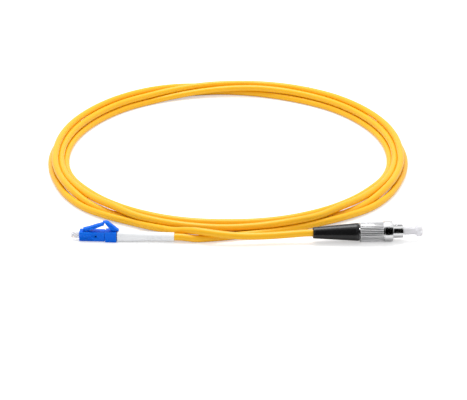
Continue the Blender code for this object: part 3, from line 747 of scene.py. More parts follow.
class Repeat(Group):
    """A Geometry Nodes group that lays out what repeats, and runs on a mesh."""

    def __init__(self, name: str, inputs: dict[str, float | int]) -> None:
        """Makes the group. It takes a geometry and a material as well as its sizes."""
        super().__init__(name, "Geometry", {"Geometry": None, **inputs, "Material": None},
                         ["Geometry"])

    def copies(self, count: str, **values: object) -> NodeSocket:
        """Lays as many copies as an input says.

        Args:
            count: the input's name.
            **values: what Instance, Rotation and Position take. Each may read the copy's index.

        Returns:
            The copies' socket.
        """
        points = self.add("GeometryNodeMeshLine", {"Count": self.inputs[count],
                                                   "Offset": (0.0, 0.0, 0.0)}).outputs[0]
        if "Position" in values:
            points = self.add("GeometryNodeSetPosition", {
                "Geometry": points, "Position": values.pop("Position")}).outputs[0]
        return self.add("GeometryNodeInstanceOnPoints", {"Points": points, **values}).outputs[0]

    def moved(self, geometry: NodeSocket, **shift: object) -> Node:
        """Adds a node that moves a geometry."""
        return self.add("GeometryNodeTransform", {
            "Geometry": geometry, "Translation": self.vector(**shift)})

    def close(self, geometry: NodeSocket) -> None:
        """Ends the group with Realize Instances and Set Material.

        Args:
            geometry: what the group gives.
        """
        real = self.add("GeometryNodeRealizeInstances", {"Geometry": geometry})
        painted = self.add("GeometryNodeSetMaterial", {
            "Geometry": real.outputs[0], "Material": self.inputs["Material"]})
        self.feed(self.outputs[0], painted.outputs[0])

    def run(self, mesh: Mesh, material: Material, **values: float | int) -> Mesh:
        """Runs the group on a mesh.

        Args:
            mesh: the geometry that the group takes, used up.
            material: what it is painted with.
            **values: value of each named input.

        Returns:
            The result, under the first mesh's name.
        """
        obj = link(mesh.name, mesh)
        modifier = obj.modifiers.new(self.tree.name, "NODES")
        modifier.node_group = self.tree
        values["Material"] = material
        for item in self.tree.interface.items_tree:
            if item.in_out == "INPUT" and item.name in values:
                modifier[item.identifier] = values[item.name]
        return baked(obj)


def ridges_round_axis() -> Repeat:
    """Copies the given ridge evenly round the plug's axis, for a straight knurl.

    Returns:
        The group. Its inputs are the number of ridges and the material.
    """
    tree = Repeat("ridges_round_axis", {"Ridges": 36})
    index = tree.add("GeometryNodeInputIndex").outputs[0]
    turn = tree.math("DIVIDE", tree.math("MULTIPLY", index, math.tau), tree.inputs["Ridges"])
    tree.close(tree.copies("Ridges", Instance=tree.inputs["Geometry"],
                           Rotation=tree.vector(X=turn)))
    return tree


def slots_along_axis() -> Repeat:
    """Cuts evenly spaced pairs of slots across a boot, each pair a quarter turn from the last.

    Returns:
        The group. Its inputs are the slots' number, first place, step and sizes.
    """
    tree = Repeat("slots_along_axis", {"Slots": 4, "First": 5.0, "Step": 1.7, "Width": 0.4,
                                       "Reach": 3.0, "Offset": 3.0})
    size = tree.vector(X=tree.inputs["Width"], Y=tree.inputs["Reach"], Z=tree.inputs["Reach"])
    bar = tree.add("GeometryNodeMeshCube", {"Size": size}).outputs[0]
    pair = tree.add("GeometryNodeJoinGeometry")
    for side in (1.0, -1.0):
        shift = tree.math("MULTIPLY", tree.inputs["Offset"], side)
        tree.feed(pair.inputs[0], tree.moved(bar, Z=shift).outputs[0])
    index = tree.add("GeometryNodeInputIndex").outputs[0]
    along = tree.math("ADD", tree.math("MULTIPLY", index, tree.inputs["Step"]),
                      tree.inputs["First"])
    copies = tree.copies("Slots", Position=tree.vector(X=along), Instance=pair.outputs[0],
                         Rotation=tree.vector(X=tree.math("MULTIPLY", index, math.pi / 2)))
    cutters = tree.add("GeometryNodeRealizeInstances", {"Geometry": copies})
    left = tree.add("GeometryNodeMeshBoolean", {0: tree.inputs["Geometry"],
                                                1: cutters.outputs[0]},
                    operation="DIFFERENCE", solver="EXACT")
    tree.close(left.outputs[0])
    return tree


def thread_round_axis() -> Repeat:
    """Winds a three-sided thread round the plug's axis.

    Returns:
        The group. Its inputs are the thread's turns, radius, length, start and depth.
    """
    tree = Repeat("thread_round_axis", {"Turns": 6.0, "Radius": 3.75, "Length": 4.5,
                                        "Start": 32.0, "Depth": 0.3})
    winding = tree.add("GeometryNodeCurveSpiral", {
        "Resolution": 48, "Rotations": tree.inputs["Turns"], "Height": tree.inputs["Length"],
        "Start Radius": tree.inputs["Radius"], "End Radius": tree.inputs["Radius"]})
    tooth = tree.add("GeometryNodeCurvePrimitiveCircle", {
        "Resolution": 3, "Radius": tree.inputs["Depth"]}, mode="RADIUS")
    swept = tree.add("GeometryNodeCurveToMesh", {
        "Curve": winding.outputs[0], "Profile Curve": tooth.outputs[0], "Fill Caps": True})
    laid = tree.moved(swept.outputs[0], X=tree.inputs["Start"])
    laid.inputs["Rotation"].default_value = (0.0, math.pi / 2, 0.0)
    tree.close(laid.outputs[0])
    return tree


@dataclass
class Bench:
    """Finishes a plug's pieces: places and paints them, and tells the frame about them.

    Attributes:
        palette: the materials.
        tail: the boot's tail, on the plug's axis, in metres.
        forward: direction from the tail to the nose.
        edge_width: a face that counts as an edge is narrower, in millimetres.
        edge_bend: it turns further than this from a neighbour, in degrees.
    """

    palette: Palette
    tail: Vector
    forward: Vector
    edge_width: float = 0.3
    edge_bend: float = 12.0

    def matrix(self) -> Matrix:
        """Matrix from the plug's millimetres to the model's metres.

        Returns:
            The matrix.
        """
        up = Vector((0.0, 0.0, 1.0))
        turn = Matrix((self.forward, up.cross(self.forward), up)).transposed().to_4x4()
        return Matrix.Translation(self.tail) @ turn @ Matrix.Scale(MM, 4)

    def mark_edges(self, mesh: Mesh) -> None:
        """Marks the narrow faces that turn a corner, for the wear.

        Args:
            mesh: the piece, in the plug's millimetres.
        """
        work = bmesh.new()
        work.from_mesh(mesh)
        layer = work.faces.layers.float.new(EDGE_LAYER)
        for face in work.faces:
            longest = max(edge.calc_length() for edge in face.edges)
            turn = max(edge.calc_face_angle(0.0) for edge in face.edges)
            narrow = face.calc_area() <= self.edge_width * longest
            face[layer] = float(narrow and turn > math.radians(self.edge_bend))
        work.to_mesh(mesh)
        work.free()

    def finish(self, mesh: Mesh, slot: Slot, body: Body, *nodes: str) -> Object:
        """Args:
            mesh: the piece, modelled in the plug's millimetres.
            slot: its finish.
            body: what it rides on.
            *nodes: CAD nodes that it stands for.

        Returns:
            The piece.
        """
        self.mark_edges(mesh)
        mesh.transform(self.matrix())
        obj = link(mesh.name, mesh)
        self.palette.paint(obj, slot)
        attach(obj, body.value)
        if nodes:
            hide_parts(*nodes)
        LOG.info("%s: %d faces", obj.name, len(obj.data.polygons))
        return obj


# Angle from the front of the ring, distance outward and height, both in pitches, of each lane.
LANES = (
    ((0, 0.2, 0.15), (26, 0.27, 0.2), (41, 0.8, 0.14), (50, 0.98, 0.04), (60, 1.02, 0.0),
     (75, 0.98, 0.0), (90, 1.05, 0.0), (120, 1.1, 0.0), (150, 1.32, 0.0)),
    ((0, -1.0, 0.0), (26, -0.8, 0.0), (41, -0.2, 0.0), (50, 0.22, 0.3), (60, 0.56, 0.72),
     (75, 0.57, 1.08), (90, 0.36, 1.43), (120, 0.72, 1.48), (135, 1.05, 1.45), (150, 1.35, 1.36)),
    ((0, -0.25, 0.67), (12, -0.12, 0.76), (26, 0.0, 0.85), (41, -0.3, 0.8), (50, -0.4, 0.7),
     (60, -0.4, 0.75), (75, -0.35, 0.8), (90, -0.3, 0.82), (120, 0.0, 0.93), (150, 0.65, 0.95)),
    ((0, -1.25, 0.91), (12, -1.1, 0.9), (26, -1.02, 0.91), (41, -1.38, 0.65), (60, -1.33, 0.45),
     (75, -1.1, 0.16), (90, -0.96, 0.04), (120, -0.36, 0.0), (150, 0.26, 0.0)),
)
# How each turn steps from its lane to the next one at the back of the ring.
STEPS = (
    ((165, 1.78, 0.1), (180, 2.05, 0.4), (195, 1.95, 0.9)),
    ((165, 1.65, 1.28), (180, 1.48, 1.18), (195, 1.1, 1.08)),
    ((165, 0.7, 0.85), (180, 0.55, 0.7), (195, 0.36, 0.38)),
    ((165, 0.62, 0.0), (180, 1.1, 0.0), (195, 1.33, 0.0)),
)
# The leads between a boot and the loops: x, y from the ring's middle, height over the floor.
LC_LEAD = ((-15.0, -92.8, 0.5), (-9.0, -92.15, 0.15), (-2.0, -90.9, 0.0), (6.0, -89.2, 0.1),
           (14.0, -87.4, 0.3), (23.0, -84.8, 0.5), (34.0, -80.9, 0.7))
FC_LEAD = ((-38.0, -80.6, 0.9), (-31.0, -84.7, 1.3), (-25.0, -87.8, 1.85), (-20.0, -89.9, 2.6),
           (-15.0, -91.9, 3.3), (-10.0, -93.5, 3.65), (-4.0, -94.6, 3.4), (3.0, -95.0, 2.8),
           (10.0, -94.9, 2.4), (17.0, -94.4, 2.3), (24.0, -93.85, 2.45), (30.0, -93.5, 2.8))


@dataclass(frozen=True)
class Exit:
    """Where the cord leaves a plug, from the middle of the ring.

    Attributes:
        tail: the boot's tail, in millimetres.
        turn: the plug's heading, in degrees.
        height: its axis over the floor.
        inside: distances forward of the tail that the cord reaches in the boot.
    """

    tail: Pair
    turn: float
    height: float
    inside: Pair

    def points(self, out: float) -> list[tuple[float, float, float]]:
        """The cord's straight end, from its deepest place to a distance out of the boot.

        Args:
            out: distance out of the boot's tail, in millimetres.

        Returns:
            The points, from the inside out.
        """
        angle = math.radians(self.turn)
        return [(self.tail[0] + along * math.cos(angle), self.tail[1] + along * math.sin(angle),
                 self.height) for along in (*self.inside, 0.0, -out)]


@dataclass
class PatchCord:
    """The jacketed cord, in millimetres from the middle of the ring on the floor.

    Attributes:
        diameter: over the jacket.
        pitch: one step of the lanes' tables.
        apart: least space between the middles of two turns.
        ring_radius: middle of the bundle.
        turn_points: points on each turn.
        step: angles where a turn leaves its lane and where it has reached the next.
        loop_ends: first and last angle that the lanes lay.
        rounds: rounds of easing the turns apart.
        samples: places tried on each straight.
        own_run: length of its own, in diameters, that a place isn't eased from.
        fixed: points at each end that stay.
        cuts: straights that each stretch between points is smoothed into.
        sides: faces round the jacket.
        lc: where it leaves the LC plug.
        fc: where it leaves the FC plug.
    """

    diameter: float = 3.4
    pitch: float = 3.7
    apart: float = 3.5
    ring_radius: float = 87.0
    turn_points: int = 36
    step: Pair = (150.0, 210.0)
    loop_ends: Pair = (30.0, 1410.0)
    rounds: int = 150
    samples: int = 4
    own_run: float = 12.0
    fixed: int = 4
    cuts: int = 8
    sides: int = 24
    lc: Exit = Exit((-24.9, -92.5), 177.0, 2.55, (13.7, 7.0))
    fc: Exit = Exit((39.9, -93.0), 3.0, 4.9, (10.7, 5.0))

    @staticmethod
    def between(stations: list[tuple[float, ...]], angle: float) -> Pair:
        """Cubic through (angle, out, up) stations that adds no humps.

        Args:
            stations: in order of angle.
            angle: where to read it.

        Returns:
            Distance outward and height, in pitches.
        """
        table = np.array(stations, float)
        x = table[:, 0]
        step = np.diff(x)
        k = int(np.clip(np.searchsorted(x, angle, side="right") - 1, 0, len(x) - 2))
        t = (angle - x[k]) / step[k]
        found = []
        for y in (table[:, 1], table[:, 2]):
            rise = np.diff(y) / step
            slope = np.zeros(len(x))
            for i in range(1, len(x) - 1):
                if rise[i - 1] * rise[i] > 0:
                    near = 2 * step[i] + step[i - 1]
                    far = step[i] + 2 * step[i - 1]
                    slope[i] = (near + far) / (near / rise[i - 1] + far / rise[i])
            found.append((2 * t**3 - 3 * t**2 + 1) * y[k]
                         + (t**3 - 2 * t**2 + t) * step[k] * slope[k]
                         + (3 * t**2 - 2 * t**3) * y[k + 1]
                         + (t**3 - t**2) * step[k] * slope[k + 1])
        return float(found[0]), float(found[1])

    def lane_place(self, lane: int, angle: float) -> Pair:
        """Distance outward and height of a lane at an angle, the same on both sides."""
        return self.between(list(LANES[lane % len(LANES)]), min(angle, 360.0 - angle))

    def loop_point(self, angle: float) -> tuple[float, float, float]:
        """Point of the loops at an angle counted on over all the turns.

        Args:
            angle: in degrees from the front of the ring.

        Returns:
            The point.
        """
        lane = int(angle // 360)
        here = angle - 360 * lane
        start, end = self.step
        if here <= start:
            out, up = self.lane_place(lane, here)
        elif here >= end:
            out, up = self.lane_place(lane + 1, here)
        else:
            out, up = self.between([(start, *self.lane_place(lane, start)),
                                    *STEPS[lane % len(STEPS)],
                                    (end, *self.lane_place(lane + 1, end))], here)
        radius = self.ring_radius + out * self.pitch
        turn = math.radians(angle)
        return (radius * math.sin(turn), -radius * math.cos(turn),
                self.diameter / 2 + up * self.pitch)

    def rough(self) -> np.ndarray:
        """Middle line from the LC crimp round the loops to the FC crimp, before it settles.

        Returns:
            The line's points.
        """
        leads = [[(x, y, self.diameter / 2 + up) for x, y, up in lead]
                 for lead in (LC_LEAD, FC_LEAD)]
        first, last = self.loop_ends
        angles = np.arange(first, last + 1, 360 / self.turn_points)
        loops = [self.loop_point(float(angle)) for angle in angles]
        return np.array([*self.lc.points(self.diameter), *leads[0], *loops, *leads[1],
                         *reversed(self.fc.points(self.diameter))])

    def settled(self) -> np.ndarray:
        """Eases the turns apart where two lie too close, keeping them on the floor.

        Returns:
            The settled points.
        """
        points = self.rough()
        owner = np.repeat(np.arange(len(points) - 1), self.samples)
        part = np.tile(np.arange(self.samples) / self.samples, len(points) - 1)[:, None]
        for _ in range(self.rounds):
            run = run_of(points)
            along = np.diff(points, axis=0)
            places = points[owner] + part * along[owner]
            marks = run[owner] + part[:, 0] * np.diff(run)[owner]
            offset = places[:, None, :] - points[None, :-1, :]
            t = np.clip((offset * along).sum(2) / (along**2).sum(1), 0.0, 1.0)
            away = offset - t[..., None] * along
            gap = np.linalg.norm(away, axis=2)
            between = np.abs(run[:-1] + t * np.diff(run) - marks[:, None])
            i, j = np.nonzero((gap < self.apart) & (between > self.own_run * self.diameter))
            push = away[i, j] * ((self.apart / gap[i, j] - 1) / 2)[:, None]
            shift = np.zeros_like(points)
            weight = np.full((len(points), 1), 1e-9)
            near = t[i, j][:, None]
            for index, share, side in ((owner[i], 1 - part[i], 1), (owner[i] + 1, part[i], 1),
                                       (j, 1 - near, -1), (j + 1, near, -1)):
                np.add.at(shift, index, side * push * share)
                np.add.at(weight, index, share)
            shift[:self.fixed] = 0.0
            shift[-self.fixed:] = 0.0
            points += shift / np.maximum(weight, 1.0)
            points[:, 2] = np.maximum(points[:, 2], self.diameter / 2)
        return points

    def eased(self, points: np.ndarray) -> np.ndarray:
        """Smooths the line by a centripetal spline through its points.

        Args:
            points: the line's points.

        Returns:
            Points of the smooth line, none of them in the floor.
        """
        table = np.array([2 * points[0] - points[1], *points, 2 * points[-1] - points[-2]])
        knots = np.concatenate([[0.0], np.cumsum(
            np.sqrt(np.linalg.norm(np.diff(table, axis=0), axis=1)))])
        line = []
        for i in range(1, len(table) - 2):
            k = knots[i - 1:i + 3]
            for t in np.linspace(k[1], k[2], self.cuts, endpoint=False):
                found = table[i - 1:i + 3]
                for reach in (1, 2):
                    found = [share_of(t, k[n], k[n + reach], found[n], found[n + 1])
                             for n in range(4 - reach)]
                line.append(share_of(t, k[1], k[2], found[0], found[1]))
        smooth = np.array([*line, table[-2]])
        smooth[:, 2] = np.maximum(smooth[:, 2], self.diameter / 2)
        return smooth

    def tube(self, name: str, points: np.ndarray) -> Mesh:
        """Sweeps a circle along the line without twist.

        Args:
            name: the mesh's name.
            points: the line, in metres.

        Returns:
            The closed tube.
        """
        ahead = np.gradient(points, axis=0)
        ahead /= np.linalg.norm(ahead, axis=1)[:, None]
        side = np.cross(ahead, (0.0, 0.0, 1.0))
        side /= np.linalg.norm(side, axis=1)[:, None]
        over = np.cross(side, ahead)
        angle = np.linspace(0.0, 2 * math.pi, self.sides, endpoint=False)[None, :, None]
        round_it = np.cos(angle) * side[:, None, :] + np.sin(angle) * over[:, None, :]
        rings = points[:, None, :] + self.diameter / 2 * MM * round_it
        return ring_surface(name, rings, caps=True, along=run_of(points))

    def build(self, palette: Palette, middle: Vector) -> None:
        """Args:
            palette: the materials.
            middle: middle of the ring on the floor, in metres.
        """
        line = self.eased(self.settled()) * MM + np.array(middle)
        cord = link("cord_jacket", self.tube("cord_jacket", line))
        palette.paint(cord, Slot.CORD)
        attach(cord, Body.SHELLS.value)
        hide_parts("cord_coil")


# Side views of the two levers, from the middle of each one's pin, and the radii of their bends.
LATCH_SIDE = [(0.4, -0.1), (0.6, 0.55), (0.2, 0.85), (-2.6, 1.6), (-5.9, 2.85), (-8.8, 3.7),
              (-9.6, 3.7), (-9.6, 2.75), (-8.8, 2.55), (-5.8, 1.2), (-2.7, 0.12), (-0.4, -0.25)]
LATCH_BENDS = {1: 0.2, 2: 0.5, 3: 3.0, 4: 3.0, 5: 0.8, 6: 0.25, 7: 0.2, 8: 0.8, 9: 3.0, 10: 3.0}
LUGS_SIDE = [(-2.9, 0.6), (-2.9, 1.2), (-4.4, 1.85), (-4.4, 1.15)]
TRIGGER_SIDE = [(4.3, 3.7), (4.3, 4.0), (2.8, 4.3), (1.9, 4.15), (-2.5, 0.5), (-3.2, -0.1),
                (-3.1, -0.25), (-1.4, 0.05), (-0.4, -0.2), (0.4, -0.2), (0.75, 0.4),
                (2.75, 3.0), (3.05, 3.7)]
TRIGGER_BENDS = {0: 0.12, 1: 0.12, 2: 0.5, 3: 0.5, 4: 1.5, 5: 0.1, 7: 0.6, 10: 0.8, 11: 1.2,
                 12: 0.4}


@dataclass
class LcPlug:
    """The small blue plug: housing, rear body, latch, trigger, boot, ferrule and dust cap."""

    nose_side: float = 4.52  # the housing, across
    nose_end: float = 44.6  # its front face
    shoulder: float = 32.7  # its back face
    tongue: Pair = (30.2, 4.0)  # start and side of its tongue in the rear body
    tongue_lap: float = 0.6  # how far the tongue goes into the housing
    body_side: float = 5.1  # the rear body, across
    body_start: float = 27.0  # its back face
    pocket: Pair = (28.6, 4.4)  # start and side of the rear body's pocket
    edge: float = 0.22  # rounding of the shells' edges
    latch_axis: Pair = (42.4, 2.75)  # the latch's pin, along the plug and over its axis
    lever_width: float = 2.4  # the latch arm and the trigger, across
    lugs_width: float = 3.8  # over both lugs of the latch
    trigger_axis: Pair = (29.2, 3.1)  # the trigger's pin
    pin_radius: float = 0.45  # both pins
    pin_gap: float = 0.3  # round the pins
    recess: Pair = (3.1, 1.75)  # depth and radius of the recess round the ferrule
    wall_bore: float = 1.0  # hole that the ferrule passes
    wall_back: float = 40.3  # back of the wall
    cavity_radius: float = 1.6  # behind the wall
    window: tuple[Pair, Pair] = ((36.3, -0.25), (37.2, 0.65))  # corners of the side windows
    guide: tuple[float, float, float] = (3.4, 0.12, 1.1)  # length, depth, height of the steps
    post_radius: float = 1.6  # the spring push's tube, in the rear body's back
    boot_front: float = 26.7  # the boot's front face
    boot_round: float = 12.7  # where it is round
    boot_tail_radius: float = 2.08  # its tail
    boot_cavity: Pair = (14.0, 2.0)  # start and radius of the hollow in the boot
    cord_bore: float = 1.8  # radius of the boot's hole for the cord
    slots: int = 4  # pairs of slots in the boot
    slot_places: Pair = (4.6, 1.75)  # the first pair's place and the step to the next
    slot_width: float = 0.55  # a slot, along the plug
    slot_reach: float = 3.4  # a slot, across
    slot_gap: float = 0.07  # between a slot and the hole for the cord
    ferrule: tuple[float, float, float] = (38.2, 47.6, 0.625)  # start, end and radius
    cap: tuple[float, float, float] = (48.6, 1.5, 0.6)  # end, radius and wall

    def bore(self, *profile: Pair) -> Mesh:
        """A closed cutter turned on the plug's axis."""
        return turned_mesh("bore", list(profile), 48, caps=True)

    def pin_groove(self, axis: Pair, side: float) -> Mesh:
        """Cutter for the groove that a lever's pin lies in.

        Args:
            axis: the pin's place, along and up.
            side: the shell's size across.

        Returns:
            The cutter.
        """
        reach = side / 2 + PAST
        radius = self.pin_radius + self.pin_gap
        groove = turned_mesh("groove", [(-reach, radius), (reach, radius)], 32, caps=True)
        groove.transform(Matrix.Translation((axis[0], 0.0, axis[1]))
                         @ Matrix.Rotation(math.pi / 2, 4, "Z"))
        return groove

    def housing(self) -> Mesh:
        """Front housing with its recess, windows, guide steps and latch groove.

        Returns:
            The mesh, in the plug's millimetres.
        """
        half = self.nose_side / 2
        depth, radius = self.recess
        floor = self.nose_end - depth
        bore = self.bore((self.nose_end + PAST, radius), (floor, radius), (floor, self.wall_bore),
                         (self.wall_back, self.wall_bore), (self.wall_back, self.cavity_radius),
                         (self.shoulder - PAST, self.cavity_radius))
        (back, bottom), (front, top) = self.window
        window = block_mesh("window", (back, -half - PAST, bottom), (front, half + PAST, top))
        length, deep, high = self.guide
        steps = [block_mesh("guide", (self.nose_end - length, side * half - deep, -half - PAST),
                            (self.nose_end + PAST, side * half + deep, -half + high))
                 for side in (-1, 1)]
        return cut(square_block("lc_nose_shell", self.shoulder, self.nose_end, self.nose_side,
                                self.edge),
                   bore, window, self.pin_groove(self.latch_axis, self.nose_side), *steps)

    def nose_tongue(self) -> Mesh:
        """The housing's tongue, which reaches into the rear body.

        Returns:
            The mesh, in the plug's millimetres.
        """
        start, side = self.tongue
        return cut(square_block("lc_nose_tongue", start, self.shoulder + self.tongue_lap, side,
                            0.15),
                   self.bore((start - PAST, self.cavity_radius),
                             (self.shoulder + 2 * PAST, self.cavity_radius)))

    def rear_body(self) -> Mesh:
        """Rear body with its pocket and trigger groove.

        Returns:
            The mesh, in the plug's millimetres.
        """
        front = self.shoulder - self.pin_gap
        start, side = self.pocket
        return cut(square_block("lc_rear_shell", self.body_start, front, self.body_side,
                                self.edge),
                   square_block("pocket", start, front + PAST, side),
                   self.bore((self.body_start - PAST, self.post_radius),
                             (start + 0.5, self.post_radius)),
                   self.pin_groove(self.trigger_axis, self.body_side))

    def pin(self, name: str) -> Mesh:
        """The round pin of a lever, across the plug, round the lever's own origin.

        Args:
            name: the mesh's name.

        Returns:
            The mesh, in the plug's millimetres.
        """
        half = self.lever_width / 2
        radius = self.pin_radius
        bevel = 0.08
        mesh = turned_mesh(name, [(-half, radius - bevel), (-half + bevel, radius),
                                  (half - bevel, radius), (half, radius - bevel)], 32, caps=True)
        mesh.transform(Matrix.Rotation(math.pi / 2, 4, "Z"))
        return mesh

    def levers(self) -> list[tuple[Mesh, Body, str]]:
        """Latch arm with its lugs and pin, and the trigger with its own pin.

        Returns:
            Each shell, with the body that it rides on and the node that it stands for.
        """
        width = self.lever_width
        latch = [prism_mesh("lc_latch_beam", arc_corners(LATCH_SIDE, LATCH_BENDS), width, 0.12),
                 prism_mesh("lc_latch_lugs", arc_corners(LUGS_SIDE, 0.15), self.lugs_width, 0.1),
                 self.pin("lc_latch_pivot")]
        trigger = [prism_mesh("lc_trigger_beam", arc_corners(TRIGGER_SIDE, TRIGGER_BENDS), width,
                              0.12),
                   self.pin("lc_trigger_pivot")]
        made = []
        for shells, axis, body, node in ((latch, self.latch_axis, Body.LATCH, "lc_latch"),
                                         (trigger, self.trigger_axis, Body.TRIGGER, "lc_trigger")):
            for mesh in shells:
                mesh.transform(Matrix.Translation((axis[0], 0.0, axis[1])))
                made.append((mesh, body, node))
        return made

    def boot(self) -> Mesh:
        """Strain relief boot before its slots: square at the body and round at the tail.

        Returns:
            The mesh, in the plug's millimetres.
        """
        front = self.boot_front
        half = self.body_side / 2
        tail = self.boot_tail_radius
        cavity_start, cavity_radius = self.boot_cavity
        stations = ((front, half - 0.2, 4.0), (front - 0.15, half - 0.05, 4.0),
                    (front - 3.0, half - 0.05, 3.2), (front - 8.0, half - 0.1, 2.5),
                    (self.boot_round, tail + 0.1, 2.1), (6.0, tail + 0.05, 2.0),
                    (0.2, tail, 2.0), (0.0, tail - 0.2, 2.0), (0.0, self.cord_bore, 2.0),
                    (cavity_start, self.cord_bore, 2.0), (cavity_start, cavity_radius, 2.0),
                    (front, cavity_radius, 2.0))
        rings = np.empty((len(stations), 64, 3))
        for ring, (along, size, power) in zip(rings, stations):
            ring[:, 0] = along
            ring[:, 1:] = superellipse(size, power, len(ring))
        return ring_surface("lc_boot_sleeve", rings, looped=True)

    def dust_cap(self) -> Mesh:
        """Clear cap over the ferrule, closed at its front.

        Returns:
            The mesh, in the plug's millimetres.
        """
        end, radius, wall = self.cap
        start = self.nose_end - self.recess[0] + 0.5
        bore = self.ferrule[2] + 0.15
        return turned_mesh("lc_cap_sleeve", [
            (end, radius - 0.35), (end - 0.1, radius - 0.12), (end - 0.35, radius),
            (start + 0.1, radius), (start, radius - 0.1), (start, bore),
            (end - wall, bore), (end - wall - 0.05, bore - 0.1)], 64, caps=True)

    def ferrule_rod(self) -> Mesh:
        """Ceramic ferrule with its polished, rounded end.

        Returns:
            The mesh, in the plug's millimetres.
        """
        start, end, radius = self.ferrule
        return turned_mesh("lc_ferrule_rod", [
            (end, radius * 0.3), (end - 0.03, radius * 0.62), (end - 0.08, radius - 0.16),
            (end - 0.28, radius), (start, radius)], 48, caps=True)

    def build(self, bench: Bench) -> None:
        """Makes every piece of the plug that shows, at the bench.

        Args:
            bench: finishes the pieces.
        """
        bench.finish(self.housing(), Slot.BLUE, Body.SHELLS, "lc_housing")
        bench.finish(self.nose_tongue(), Slot.BLUE, Body.SHELLS)
        bench.finish(self.rear_body(), Slot.BLUE, Body.SHELLS, "lc_rear_body")
        for mesh, body, node in self.levers():
            bench.finish(mesh, Slot.BLUE, body, node)
        first, step = self.slot_places
        boot = slots_along_axis().run(
            self.boot(), bench.palette.materials[Slot.WHITE], Slots=self.slots, First=first,
            Step=step, Width=self.slot_width, Reach=self.slot_reach,
            Offset=self.slot_reach / 2 + self.cord_bore + self.slot_gap)
        bench.finish(boot, Slot.WHITE, Body.SHELLS, "lc_boot")
        bench.finish(self.dust_cap(), Slot.CAP, Body.LC_CAP, "lc_dust_cap")
        bench.finish(self.ferrule_rod(), Slot.ZIRCONIA, Body.LC_FERRULE, "lc_ferrule")


